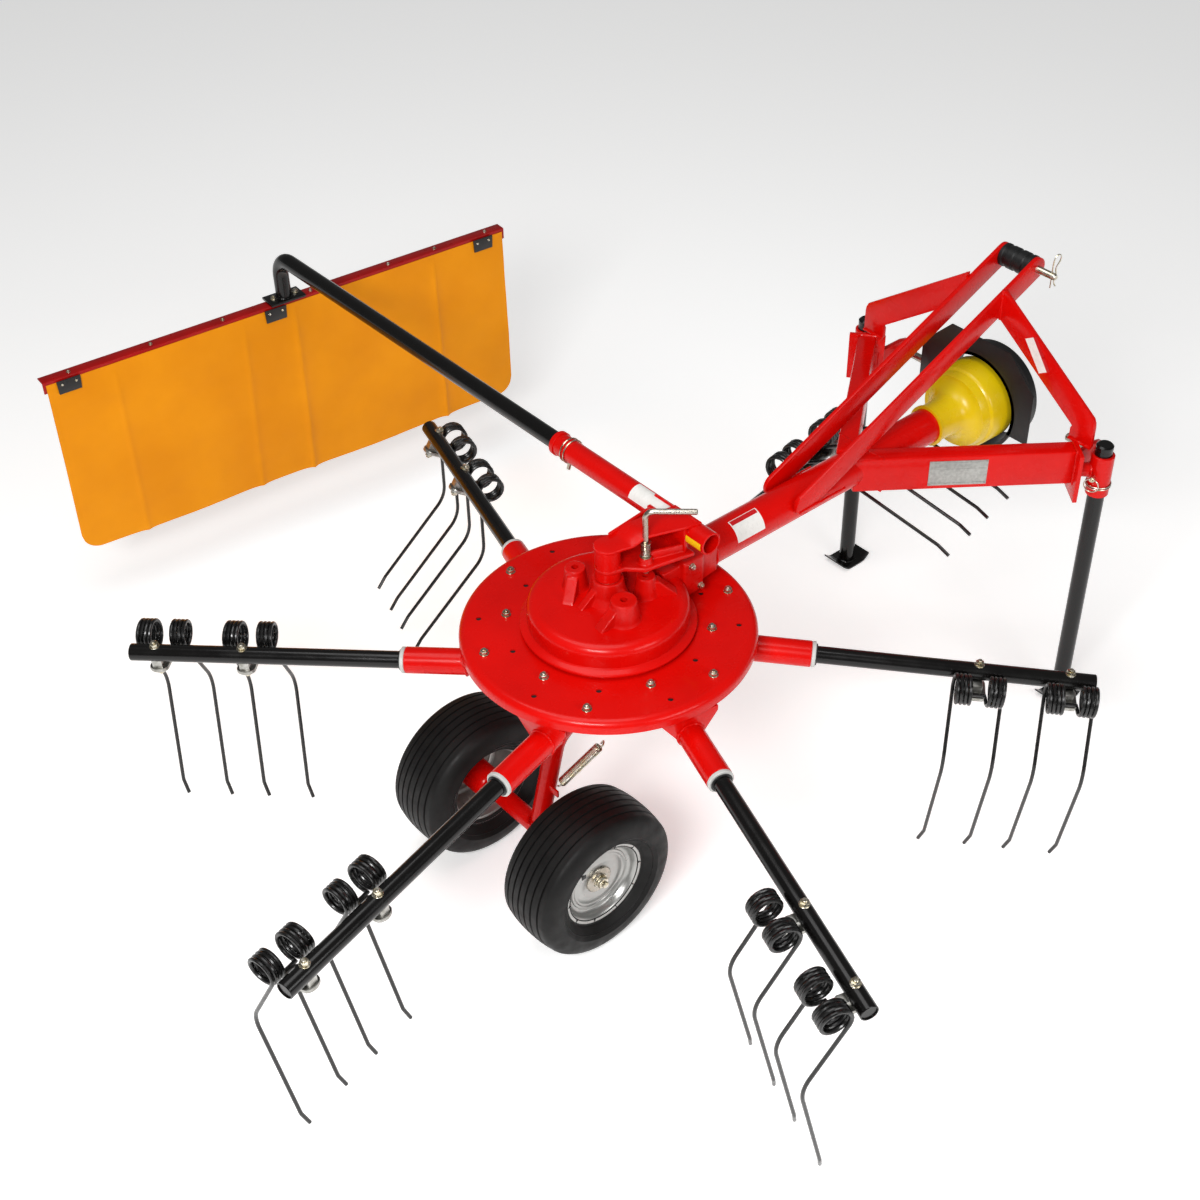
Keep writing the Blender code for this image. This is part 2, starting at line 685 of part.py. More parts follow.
def curtain():
    """The plain hanging sheet on the rail's inner face."""
    size = (RAIL_LENGTH - 2 * CURTAIN_INSET, CURTAIN_THICKNESS, CURTAIN_DROP)
    return box(size, (0, -CURTAIN_THICKNESS / 2 - GAP, -0.01 - CURTAIN_DROP / 2))


# ---------- drawbar and headstock ----------


def beam_turn():
    return atan2(BEAM_TIP[1] - BEAM_ROOT[1], BEAM_TIP[0] - BEAM_ROOT[0])


def hitch_beam(sign):
    """A spread box beam from the drawbar to its end plate."""
    length = hypot(BEAM_TIP[0] - BEAM_ROOT[0], BEAM_TIP[1] - BEAM_ROOT[1])
    middle = ((BEAM_ROOT[0] + BEAM_TIP[0]) / 2, sign * (BEAM_ROOT[1] + BEAM_TIP[1]) / 2, DRAWBAR_HEIGHT)
    beam = box((length, BEAM_WIDTH, BEAM_HEIGHT), middle, (0, 0, sign * beam_turn()))
    around = DRAWBAR_RADIUS + GAP
    start, end = (BEAM_ROOT[0] - 0.1, 0, DRAWBAR_HEIGHT), (BEAM_TIP[0], 0, DRAWBAR_HEIGHT)
    drawbar = rod(start, end, around / cos(pi / 24), 24)
    middle_gap = box((0.6, 0.05, 0.2), (BEAM_ROOT[0] + 0.05, -sign * 0.0247, DRAWBAR_HEIGHT))
    return cut(beam, drawbar, middle_gap)


def headstock_end(sign):
    """End plate, lower link lug, stub and the sleeve of a parking stand."""
    along = Vector((cos(beam_turn()), sign * sin(beam_turn()), 0))
    turn = (0, 0, sign * beam_turn() + pi / 2)
    tip = Vector((BEAM_TIP[0], sign * BEAM_TIP[1], 0))
    top = DRAWBAR_HEIGHT + BEAM_HEIGHT / 2
    middle = tip + along * (END_PLATE_THICKNESS / 2 + GAP)
    middle.z = (END_PLATE_BOTTOM + top) / 2
    body = box((END_PLATE_WIDTH, END_PLATE_THICKNESS, top - END_PLATE_BOTTOM), middle, turn)
    x, y = STAND_PLACE[0], sign * STAND_PLACE[1]
    low, high = STAND_SLEEVE
    sleeve = rod((x, y, low), (x, y, high), STAND_SLEEVE_RADIUS, 20)
    stub_height = (low + high) / 2 + 0.01
    stub = rod((middle.x, middle.y, stub_height), (x, y, stub_height), STUB_RADIUS, 14)
    lug_y = sign * (BEAM_TIP[1] - LUG_INSET)
    lug_start, lug_end = BEAM_TIP[0] + LUG_START, BEAM_TIP[0] + LUG_REACH
    lug = box(
        (lug_end - lug_start, LUG_THICKNESS, LUG_DEPTH),
        ((lug_start + lug_end) / 2, lug_y, DRAWBAR_HEIGHT - LUG_DEPTH / 2),
    )
    bore = rod((x, y, low - 0.01), (x, y, high + 0.01), STAND_RADIUS + PIVOT_CLEARANCE, 20)
    hole_x, hole_z = lower_pin_place()
    hole = rod((hole_x, lug_y - 0.02, hole_z), (hole_x, lug_y + 0.02, hole_z), LOWER_PIN_RADIUS + GAP, 16)
    return cut(join(body, sleeve, stub, lug), bore, hole)


def lower_pin_place():
    return BEAM_TIP[0] + LUG_REACH - LOWER_PIN_INSET, DRAWBAR_HEIGHT - LUG_DEPTH / 2


def lower_link_pin(sign):
    """Cross pin for a lower link, with its head outside the lug."""
    x, z = lower_pin_place()
    outer = BEAM_TIP[1] - LUG_INSET + LUG_THICKNESS / 2
    head, thick = PIN_HEAD
    profile = [(0, outer + thick), (head, outer + thick), (head, outer + GAP), (LOWER_PIN_RADIUS, outer + GAP)]
    end = outer - LUG_THICKNESS - LOWER_PIN_LENGTH
    pin = turned(profile + [(LOWER_PIN_RADIUS, end), (0, end)], 16, "Y")
    return bake(pin, (x, 0, z), (0, 0, 0 if sign > 0 else pi))


def mast_strut(sign):
    """A flat strut from a beam's tip up and in to the top braces."""
    half = STRUT_WIDTH / 2
    foot, knee = DRAWBAR_HEIGHT + BEAM_HEIGHT / 2 + GAP, STRUT_KNEE
    outer_y, inner_y = BEAM_TIP[1] + STRUT_OUTSET, DRAWBAR_RADIUS + BRACE_THICKNESS + 2 * GAP
    top = brace_height(STRUT_FORWARD)
    slope = Vector((inner_y - (outer_y - half), top - knee))
    rise = half / slope.normalized().x * -1
    outline = [(outer_y, foot), (outer_y, knee + 0.02), (inner_y, top + rise), (inner_y, top - rise)]
    outline += [(outer_y - 2 * half, knee - 0.02), (outer_y - 2 * half, foot)]
    outline = [(sign * y, z) for y, z in outline]
    strut = plate(outline if sign > 0 else outline[::-1], STRUT_THICKNESS)
    return bake(strut, (STRUT_FORWARD, 0, 0), (pi / 2, 0, pi / 2))


def brace_height(x):
    """Height of the top braces' centre line above the drawbar's datum."""
    (x0, z0), (x1, z1) = BRACE_FOOT, TOP_PIN_PLACE
    return z0 + (z1 - z0) * (x - x0) / (x1 - x0)


def top_brace(sign):
    """A long flat brace from the drawbar's side up to the top link pin."""
    (x0, z0), (x1, z1) = BRACE_FOOT, TOP_PIN_PLACE
    slope = atan2(z1 - z0, x1 - x0)
    half = BRACE_DEPTH / 2
    outline = arc((x1, z1), half, slope - pi / 2, slope + pi / 2, 8)
    outline += arc((x0, z0), half, slope + pi / 2, slope + 3 * pi / 2, 6)
    bar = plate(outline, BRACE_THICKNESS)
    y = sign * (DRAWBAR_RADIUS + GAP + BRACE_THICKNESS / 2)
    bake(bar, (0, y, 0), (pi / 2, 0, 0))
    hole = rod((x1, y - 0.02, z1), (x1, y + 0.02, z1), TOP_PIN_RADIUS + GAP, 16)
    return cut(bar, hole)


def top_link_pin():
    """The top link pin, with its head on the left."""
    outer = DRAWBAR_RADIUS + BRACE_THICKNESS + 3 * GAP
    head, thick = PIN_HEAD[0] - 0.001, PIN_HEAD[1]
    profile = [(0, outer + thick), (head, outer + thick), (head, outer), (TOP_PIN_RADIUS, outer)]
    end = outer + thick - TOP_PIN_LENGTH
    pin = turned(profile + [(TOP_PIN_RADIUS, end + 0.004), (TOP_PIN_RADIUS - 0.003, end), (0, end)], 16, "Y")
    return bake(pin, (TOP_PIN_PLACE[0], 0, TOP_PIN_PLACE[1]))


def top_link_bushing():
    half = DRAWBAR_RADIUS - GAP
    spacer = tube(TOP_PIN_RADIUS + GAP, BUSHING_RADIUS, -half, half, 16, "Y")
    return bake(spacer, (TOP_PIN_PLACE[0], 0, TOP_PIN_PLACE[1]))


def drawbar_tube():
    inner = DRAWBAR_RADIUS - DRAWBAR_WALL
    shell = tube(inner, DRAWBAR_RADIUS, DRAWBAR_START, DRAWBAR_END, 24, "X")
    return bake(shell, (0, 0, DRAWBAR_HEIGHT))


def pto_guard():
    """Black shield on the front of the struts, with a collar round the driveline."""
    x = STRUT_FORWARD + (STRUT_THICKNESS + GUARD_THICKNESS) / 2 + GAP
    radius = GUARD_COLLAR_RADIUS
    width, slope = GUARD_HALF_WIDTH, GUARD_CORNER
    low, high = DRAWBAR_HEIGHT - GUARD_BELOW, DRAWBAR_HEIGHT + GUARD_ABOVE
    outline = [(-width, low), (width, low), (width, high - slope), (width - slope, high)]
    outline += [(slope - width, high), (-width, high - slope)]
    shield = bake(plate(outline, GUARD_THICKNESS), (x, 0, 0), (pi / 2, 0, pi / 2))
    collar = rod((x, 0, DRAWBAR_HEIGHT), (x + GUARD_COLLAR_LENGTH, 0, DRAWBAR_HEIGHT), radius, 24)
    start, end = (x - 0.05, 0, DRAWBAR_HEIGHT), (x + GUARD_COLLAR_LENGTH + 0.05, 0, DRAWBAR_HEIGHT)
    return cut(join(shield, collar), rod(start, end, radius - GUARD_COLLAR_WALL, 24))


def pto_bell():
    """The bell guard: a neck on the drawbar's end, a cone and a round skirt."""
    neck, wall, flare = DRAWBAR_RADIUS + GAP, BELL_WALL, BELL_START + BELL_NECK
    outer = [(BELL_START, neck + wall), (flare, neck + wall), (flare + 0.04, BELL_RADIUS - 0.018)]
    outer += [(flare + 0.07, BELL_RADIUS - 0.004), (BELL_END, BELL_RADIUS)]
    ring = [(r, x) for x, r in outer[::-1]] + [(r - wall, x) for x, r in outer] + [outer[-1][::-1]]
    return bake(turned(ring, 24, "X"), (0, 0, DRAWBAR_HEIGHT))


def pto_bearing():
    """Bearing that carries the shaft in the drawbar's mouth."""
    end = DRAWBAR_END - BEARING_INSET
    radius = DRAWBAR_RADIUS - DRAWBAR_WALL - GAP
    ring = tube(SHAFT_RADIUS + PIVOT_CLEARANCE, radius, end - BEARING_LENGTH, end, 24, "X")
    return bake(ring, (0, 0, DRAWBAR_HEIGHT))


def pto_shaft():
    """Splined input shaft."""
    root = SHAFT_RADIUS - SPLINE_DEPTH
    shaft = rod((SHAFT_START, 0, 0), (DRAWBAR_END - 0.02, 0, 0), SHAFT_RADIUS, 18)
    end = rod((DRAWBAR_END - 0.03, 0, 0), (SHAFT_END, 0, 0), root, 18)
    teeth = []
    length = SHAFT_END - DRAWBAR_END + 0.01
    middle = SHAFT_END - length / 2 - 0.002
    for i in range(SPLINES // 2):
        tooth = (length, 2 * SHAFT_RADIUS - 0.002, SPLINE_WIDTH)
        teeth.append(box(tooth, (middle, 0, 0), (i * 2 * pi / SPLINES, 0, 0)))
    return join(shaft, end, *teeth)


def nameplate():
    """Blank plate on the right beam."""
    turn = -beam_turn()
    along, across = Vector((cos(turn), sin(turn), 0)), Vector((sin(turn), -cos(turn), 0))
    root = Vector((BEAM_ROOT[0], -BEAM_ROOT[1], DRAWBAR_HEIGHT))
    middle = root + along * 0.25 + across * (BEAM_WIDTH / 2 + GAP + 0.0006)
    return box((0.13, 0.0012, 0.066), middle, (0, 0, turn))


# ---------- stands and wheels ----------


def stand():
    """A capped parking stand with a bent foot plate, standing on the ground at z = 0."""
    top = STAND_LENGTH
    leg = wire([(0, 0, 0.012), (0, 0, top)], STAND_RADIUS, 16)
    half, flat, lift = FOOT_LENGTH / 2, FOOT_LENGTH / 4, 0.018
    t = FOOT_THICKNESS
    outline = [(-half, lift), (-flat, 0), (flat, 0), (half, lift), (half, lift + t), (flat, t + 0.001)]
    outline += [(-flat, t + 0.001), (-half, lift + t)]
    foot = plate(outline, FOOT_WIDTH)
    bake(foot, turn=(pi / 2, 0, 0))
    boss = rod((0, 0, 0.004), (0, 0, 0.03), STAND_RADIUS + 0.003, 16)
    return join(leg, foot, boss)


def tyre():
    """A low ribbed implement tyre, its beads between the rim's flanges."""
    half, bead = TYRE_WIDTH / 2, RIM_WIDTH / 2 - RIM_WALL - GAP
    tread, crown, shoulder = TYRE_WIDTH * 0.36, 0.004, 0.026
    side = [(TYRE_RADIUS, tread * 0.4), (TYRE_RADIUS - crown, tread), (TYRE_RADIUS - shoulder, half * 0.95)]
    side += [(TYRE_RADIUS - 2 * shoulder, half), (RIM_RADIUS + 0.01, RIM_WIDTH / 2 + 0.008)]
    side += [(RIM_RADIUS + 0.002, bead), (rim_seat() + GAP, bead)]
    profile = side[::-1] + [(r, -y) for r, y in side] + [side[-1]]
    return turned(profile, 24, "Y")


def rim_seat():
    """Radius that the tyre's beads sit on."""
    return RIM_RADIUS - RIM_FLANGE


def rim():
    """A pressed wheel with its hub, dished towards the outer side (+Y here)."""
    bore, seat = AXLE_RADIUS + PIVOT_CLEARANCE, rim_seat()
    half, wall = RIM_WIDTH / 2, RIM_WALL
    hub_out, hub_in = half * 0.55, -half - 0.004
    profile = [(RIM_RADIUS, half), (RIM_RADIUS, half - wall), (seat, half - wall), (seat, wall - half)]
    profile += [(RIM_RADIUS, wall - half), (RIM_RADIUS, -half), (seat - wall, -half), (seat - wall, -wall)]
    profile += [(HUB_RADIUS, -wall * 2), (HUB_RADIUS, hub_in), (bore, hub_in), (bore, hub_out)]
    profile += [(HUB_RADIUS - 0.008, hub_out), (HUB_RADIUS, 0), (seat - wall, wall), (seat - wall, half)]
    return turned(profile + [(RIM_RADIUS, half)], 24, "Y")


def wheel_bogie():
    """Trailing swivel frame: pivot barrel, cranked tube, axle beam and stub axles."""
    low, high = BOGIE_BARREL
    barrel = rod((0, 0, low), (0, 0, high), BOGIE_BARREL_RADIUS, 20)
    height = (low + high) / 2
    points = [(-0.034, 0, height), (-0.15, 0, height - 0.03), (-0.19, 0, height - 0.06)]
    points += [(-0.212, 0, height - 0.1), (-AXLE_BACK, 0, TYRE_RADIUS)]
    crank = wire(points, BOGIE_TUBE_RADIUS, 10)
    beam_half = AXLE_BEAM_LENGTH / 2
    back, height = -AXLE_BACK, TYRE_RADIUS
    beam_ends = (back, AXLE_SHIFT - beam_half, height), (back, AXLE_SHIFT + beam_half, height)
    beam = rod(*beam_ends, AXLE_BEAM_RADIUS, 16)
    reach = TRACK / 2 + RIM_WIDTH / 2 - 0.014
    axle_ends = (back, AXLE_SHIFT - reach, height), (back, AXLE_SHIFT + reach, height)
    axle = rod(*axle_ends, AXLE_RADIUS, 16)
    lug_size = (0.014, 0.05, 0.012)
    lug = box(lug_size, (SPRING_FOOT[0] - 0.006, SPRING_FOOT[1] + 0.015, SPRING_FOOT[2] - SPRING_SEAT - 0.006))
    king = rod((0, 0, low - 0.01), (0, 0, high + 0.01), KING_POST_RADIUS + PIVOT_CLEARANCE, 20)
    return cut(join(barrel, crank, beam, axle, lug), king)


def king_post():
    """Fixed post under the rotor that the wheel frame swivels on, with its retaining cap."""
    low, high = BOGIE_BARREL
    top = CAM_CASE_BOTTOM - GAP
    shoulder, cap = KING_SHOULDER_RADIUS, KING_CAP_RADIUS
    profile = [(0, top), (shoulder, top), (shoulder, high + 0.012), (KING_POST_RADIUS, high + 0.006)]
    profile += [(KING_POST_RADIUS, low - 0.006), (cap, low - 0.006)]
    return turned(profile + [(cap, KING_POST_BOTTOM), (0, KING_POST_BOTTOM)], 20)


def cam_case():
    """Closed cam case under the plate, with the post that joins it to the gearbox above."""
    column = PLATE_BORE - COLUMN_CLEARANCE
    profile = [(0, GEARBOX_BOTTOM - GAP), (column, GEARBOX_BOTTOM - GAP)]
    profile += [(column, CAM_CASE_TOP), (CAM_CASE_RADIUS - 0.01, CAM_CASE_TOP)]
    profile += [(CAM_CASE_RADIUS, CAM_CASE_TOP - 0.01), (CAM_CASE_RADIUS, CAM_CASE_BOTTOM + 0.015)]
    profile += [(CAM_CASE_RADIUS - 0.015, CAM_CASE_BOTTOM), (0, CAM_CASE_BOTTOM)]
    drum = turned(profile, 28)
    x, y, z = SPRING_TOP
    foot, head = z + SPRING_SEAT, CAM_CASE_BOTTOM + 0.02
    lug = box((0.014, 0.014, head - foot), (x, y, (head + foot) / 2))
    return join(drum, lug)


def bogie_spring():
    return rod(SPRING_TOP, SPRING_FOOT, SPRING_RADIUS, 10)


# ---------- assembly ----------


def build():
    machine = empty("rotary_hay_rake_datum", None)

    rotor = empty("rotor_axis", machine)
    settle(rotor_plate(), "rotor_plate", PAINT_RED, rotor)
    for i, roll in enumerate(ARM_ROLLS):
        number = i + 1
        place, turn = arm_frame(i)
        settle(arm_housing(), f"arm_housing_{number}", PAINT_RED, rotor, place, turn)
        axis = empty(f"arm_axis_{number}", rotor, place, (-radians(roll), turn[1], turn[2]))
        settle(tine_arm(), f"tine_arm_{number}", PAINT_BLACK, axis)
        for label, middle in zip(("inner", "outer"), TINE_PAIRS):
            settle(double_tine(middle), f"double_tine_{number}_{label}", SPRING_BLACK, axis)

    settle(gearbox_housing(), "gearbox_housing", PAINT_RED, machine)
    settle(cam_case(), "cam_case", PAINT_RED, machine)
    settle(king_post(), "king_post", PAINT_RED, machine)
    settle(curtain_post(), "curtain_post", STEEL, machine)
    settle(drawbar_tube(), "drawbar_tube", PAINT_RED, machine)
    settle(pto_bell(), "pto_bell", YELLOW, machine)
    settle(pto_guard(), "pto_guard", GUARD_BLACK, machine)
    settle(pto_bearing(), "pto_bearing", STEEL, machine)
    settle(top_link_bushing(), "top_link_bushing", GUARD_BLACK, machine)
    settle(top_link_pin(), "top_link_pin", ZINC, machine)
    settle(nameplate(), "nameplate", SILVER, machine)
    for side, sign in sides():
        settle(hitch_beam(sign), f"hitch_beam_{side}", PAINT_RED, machine)
        settle(headstock_end(sign), f"headstock_end_{side}", PAINT_RED, machine)
        settle(lower_link_pin(sign), f"lower_link_pin_{side}", ZINC, machine)
        settle(mast_strut(sign), f"mast_strut_{side}", PAINT_RED, machine, smooth=False)
        settle(top_brace(sign), f"top_brace_{side}", PAINT_RED, machine)
        foot = empty(f"stand_axis_{side}", machine, (STAND_PLACE[0], sign * STAND_PLACE[1], 0))
        settle(stand(), f"parking_stand_{side}", PAINT_BLACK, foot)

    driveline = empty("pto_axis", machine, (0, 0, DRAWBAR_HEIGHT))
    settle(pto_shaft(), "pto_shaft", STEEL, driveline)

    pivot = empty("curtain_pivot", machine)
    settle(curtain_yoke(), "curtain_yoke", PAINT_RED, pivot)
    settle(lock_pin(), "lock_pin", STEEL, pivot)
    boom = empty("boom_axis", pivot, (BOOM_FORWARD, 0, 0))
    settle(boom_tube(), "boom_tube", PAINT_BLACK, boom)
    place, turn = rail_frame()
    rail = empty("rail_axis", boom, (place[0] - BOOM_FORWARD, place[1], place[2]), turn)
    settle(curtain_rail(), "curtain_rail", PAINT_DARK_RED, rail, smooth=False)
    settle(curtain(), "curtain", CANVAS, rail, smooth=False)

    swivel = empty("bogie_axis", machine)
    settle(wheel_bogie(), "wheel_bogie", PAINT_RED, swivel)
    settle(bogie_spring(), "bogie_spring", ZINC, machine)
    for side, sign in sides():
        outward = (0, 0, 0 if sign > 0 else pi)
        axle = empty(f"axle_{side}", swivel, (-AXLE_BACK, AXLE_SHIFT + sign * TRACK / 2, TYRE_RADIUS), outward)
        settle(tyre(), f"tyre_{side}", RUBBER, axle)
        settle(rim(), f"rim_{side}", SILVER, axle)
    return machine


def centre_on_floor(machine):
    """Moves the datum so that the origin is under the middle of the machine."""
    bpy.context.view_layer.update()
    meshes = [obj for obj in parts.objects if obj.type == "MESH"]
    corners = [obj.matrix_world @ vert.co for obj in meshes for vert in obj.data.vertices]
    low = [min(c[i] for c in corners) for i in range(3)]
    high = [max(c[i] for c in corners) for i in range(3)]
    machine.location = (-(low[0] + high[0]) / 2, -(low[1] + high[1]) / 2, -low[2])


centre_on_floor(build())
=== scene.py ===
import json
import math

import bmesh
import bpy
from mathutils import Matrix, Vector, noise


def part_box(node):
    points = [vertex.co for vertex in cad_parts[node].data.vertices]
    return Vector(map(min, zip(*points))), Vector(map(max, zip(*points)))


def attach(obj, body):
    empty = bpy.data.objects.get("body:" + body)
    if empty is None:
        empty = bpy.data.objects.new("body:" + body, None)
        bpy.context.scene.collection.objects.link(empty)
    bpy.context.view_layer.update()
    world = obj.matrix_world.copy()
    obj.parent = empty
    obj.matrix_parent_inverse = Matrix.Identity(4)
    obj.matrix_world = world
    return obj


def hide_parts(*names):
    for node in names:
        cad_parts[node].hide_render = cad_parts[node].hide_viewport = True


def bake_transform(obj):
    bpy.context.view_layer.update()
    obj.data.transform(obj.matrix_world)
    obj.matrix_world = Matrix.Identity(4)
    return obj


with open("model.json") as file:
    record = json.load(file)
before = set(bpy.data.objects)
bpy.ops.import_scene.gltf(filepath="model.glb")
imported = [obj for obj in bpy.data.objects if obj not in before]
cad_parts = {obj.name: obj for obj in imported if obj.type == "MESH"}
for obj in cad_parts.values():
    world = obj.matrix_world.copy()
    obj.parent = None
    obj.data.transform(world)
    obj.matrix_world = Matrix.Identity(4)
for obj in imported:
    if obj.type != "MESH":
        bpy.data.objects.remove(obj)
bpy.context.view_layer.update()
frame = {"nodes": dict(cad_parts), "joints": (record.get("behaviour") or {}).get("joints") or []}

# Everything is laid out from the foot of the rotor's axis
plateLow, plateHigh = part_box("rotor_plate")
datum = Vector(((plateLow.x + plateHigh.x) / 2, (plateLow.y + plateHigh.y) / 2, 0))
home = Matrix.Translation(datum)
joints = {joint["name"]: joint for joint in frame["joints"]}


# Mesh helpers


def newObject(name, mesh):
    made = bpy.data.objects.new(name, mesh)
    bpy.context.scene.collection.objects.link(made)
    return made


def fromBmesh(bm, name="piece"):
    bmesh.ops.remove_doubles(bm, verts=bm.verts, dist=1e-6)
    bmesh.ops.dissolve_degenerate(bm, edges=bm.edges, dist=1e-6)
    bmesh.ops.recalc_face_normals(bm, faces=bm.faces)
    mesh = bpy.data.meshes.new(name)
    bm.to_mesh(mesh)
    bm.free()
    return newObject(name, mesh)


def axisTurn(axis):
    # turns a shape made along Z so that it lies along another axis
    return {
        "Z": Matrix.Identity(4),
        "X": Matrix.Rotation(math.pi / 2, 4, "Y"),
        "Y": Matrix.Rotation(-math.pi / 2, 4, "X"),
    }[axis]


def moved(obj, matrix):
    obj.data.transform(matrix)
    return obj


def shifted(obj, place):
    return moved(obj, Matrix.Translation(place))


def lathe(profile, steps=64, axis="Z", place=(0, 0, 0)):
    # profile is (radius, height) points; a closed one ends where it starts
    bm = bmesh.new()
    verts = [bm.verts.new((r, 0, h)) for r, h in profile]
    edges = [bm.edges.new(pair) for pair in zip(verts, verts[1:])]
    bmesh.ops.spin(
        bm, geom=verts + edges, cent=(0, 0, 0), axis=(0, 0, 1), angle=2 * math.pi, steps=steps, use_merge=True
    )
    return moved(fromBmesh(bm), Matrix.Translation(place) @ axisTurn(axis))


def bake(obj):
    bpy.context.view_layer.update()
    graph = bpy.context.evaluated_depsgraph_get()
    mesh = bpy.data.meshes.new_from_object(obj.evaluated_get(graph))
    obj.modifiers.clear()
    obj.data = mesh
    return obj


def rounded(obj, width, segments=2, angle=30):
    bevel = obj.modifiers.new("edges", "BEVEL")
    bevel.width = width
    bevel.segments = segments
    bevel.limit_method = "ANGLE"
    bevel.angle_limit = math.radians(angle)
    return bake(obj)


def block(size, place=(0, 0, 0), turn=0.0, edge=0.001):
    # a box with broken edges, turned about Z
    bm = bmesh.new()
    bmesh.ops.create_cube(bm, size=1)
    bmesh.ops.scale(bm, verts=bm.verts, vec=size)
    made = rounded(fromBmesh(bm), edge)
    return moved(made, Matrix.Translation(place) @ Matrix.Rotation(turn, 4, "Z"))


def flat(outline, thickness, edge=0.001):
    # a plate in the XY plane, its middle at z = 0
    bm = bmesh.new()
    low = [bm.verts.new((x, y, -thickness / 2)) for x, y in outline]
    high = [bm.verts.new((x, y, thickness / 2)) for x, y in outline]
    bm.faces.new(low)
    bm.faces.new(high)
    for i in range(len(outline)):
        j = (i + 1) % len(outline)
        bm.faces.new((low[i], low[j], high[j], high[i]))
    return rounded(fromBmesh(bm), edge, 2, 40)


def along(start, end):
    # a matrix that carries the Z axis from start towards end
    start, end = Vector(start), Vector(end)
    return Matrix.Translation(start) @ (end - start).to_track_quat("Z", "Y").to_matrix().to_4x4()


def rod(start, end, radius, edge=0.001, steps=32, bore=0.0):
    # a round bar or pipe with broken edges between two points
    length = (Vector(end) - Vector(start)).length
    profile = [(bore, 0), (radius - edge, 0), (radius, edge), (radius, length - edge),
               (radius - edge, length)]
    profile += [(bore, length)]
    if bore:
        profile += [(bore, 0)]
    return moved(lathe(profile, steps), along(start, end))


def bent(points, radius, sides=16):
    # a round wire or tube through points, with flat ends
    bm = bmesh.new()
    points = [Vector(p) for p in points]
    rings = []
    normal = None
    for i, point in enumerate(points):
        before, after = points[max(i - 1, 0)], points[min(i + 1, len(points) - 1)]
        tangent = (after - before).normalized()
        if normal is None:
            normal = tangent.orthogonal().normalized()
        normal = (normal - tangent * normal.dot(tangent)).normalized()
        across = tangent.cross(normal)
        angles = [2 * math.pi * k / sides for k in range(sides)]
        rings.append([bm.verts.new(point + radius * (normal * math.cos(a) + across * math.sin(a))) for a in angles])
    for one, two in zip(rings, rings[1:]):
        for k in range(sides):
            bm.faces.new((one[k], one[(k + 1) % sides], two[(k + 1) % sides], two[k]))
    bm.faces.new(rings[0])
    bm.faces.new(rings[-1])
    return fromBmesh(bm)


def corner(before, at, after, radius, steps=8):
    # points that round the corner at a bend, for bent()
    before, at, after = Vector(before), Vector(at), Vector(after)
    inward, outward = (before - at).normalized(), (after - at).normalized()
    half = inward.angle(outward) / 2
    reach = radius / math.tan(half)
    middle = at + (inward + outward).normalized() * (radius / math.sin(half))
    first = at + inward * reach - middle
    last = at + outward * reach - middle
    whole = first.angle(last)
    spin = Matrix.Rotation(whole / steps, 3, first.cross(last))
    points, arm = [], first
    for _ in range(steps + 1):
        points.append(middle + arm)
        arm = spin @ arm
    return points


def helix(start, end, radius, turns, perTurn=14):
    # points of a coil wound on the line from start to end
    frameOf = along(start, end)
    length = (Vector(end) - Vector(start)).length
    count = int(turns * perTurn)
    points = []
    for i in range(count + 1):
        a = 2 * math.pi * turns * i / count
        points.append(frameOf @ Vector((radius * math.cos(a), radius * math.sin(a), length * i / count)))
    return points


def merged(*pieces):
    bm = bmesh.new()
    for piece in pieces:
        mesh = piece.data.copy()
        mesh.transform(piece.matrix_world)
        bm.from_mesh(mesh)
        bpy.data.objects.remove(piece)
    mesh = bpy.data.meshes.new("piece")
    bm.to_mesh(mesh)
    bm.free()
    return newObject("piece", mesh)


def copies(source, matrices):
    bm = bmesh.new()
    for matrix in matrices:
        mesh = source.data.copy()
        mesh.transform(matrix)
        bm.from_mesh(mesh)
    bpy.data.objects.remove(source)
    mesh = bpy.data.meshes.new("piece")
    bm.to_mesh(mesh)
    bm.free()
    return newObject("piece", mesh)


def cutAway(obj, *cutters):
    for cutter in cutters:
        modifier = obj.modifiers.new("cut", "BOOLEAN")
        modifier.object = cutter
    bake(obj)
    for cutter in cutters:
        bpy.data.objects.remove(cutter)
    return obj


def cast(obj, voxel, smoothing=6):
    # one skin with the soft fillets of a sand casting
    remesh = obj.modifiers.new("skin", "REMESH")
    remesh.mode = "VOXEL"
    remesh.voxel_size = voxel
    smooth = obj.modifiers.new("fillets", "SMOOTH")
    smooth.factor = 0.5
    smooth.iterations = smoothing
    return bake(obj)


def weldBead(points, radius=0.0032, seed=1):
    # a rippled bead of weld laid along a seam
    points = [Vector(p) for p in points]
    dense = []
    for one, two in zip(points, points[1:]):
        count = max(2, int((two - one).length / 0.0022))
        dense += [one.lerp(two, i / count) for i in range(count)]
    dense.append(points[-1])
    bead = bent(dense, radius, 8)
    for vert in bead.data.vertices:
        vert.co += 0.0009 * noise.noise_vector(vert.co * 300 + Vector((seed, 0, 0)))
    return bead


def circle(centre, radius, axis="Z", start=0.0, end=2 * math.pi, steps=36):
    turn = axisTurn(axis)
    points = []
    for i in range(steps + 1):
        a = start + (end - start) * i / steps
        points.append(Vector(centre) + turn @ Vector((radius * math.cos(a), radius * math.sin(a), 0)))
    return points


def addPiece(obj, name, material, body, slotName, replaced=(), at=home, sharp=35):
    obj.name = name
    obj.data.name = name
    obj.data.shade_smooth()
    obj.data.set_sharp_from_angle(angle=math.radians(sharp))
    obj.data.materials.clear()
    obj.data.materials.append(material)
    obj.matrix_world = at @ obj.matrix_world
    if body:
        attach(obj, body)
    if replaced:
        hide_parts(*replaced)
    return obj


# Materials


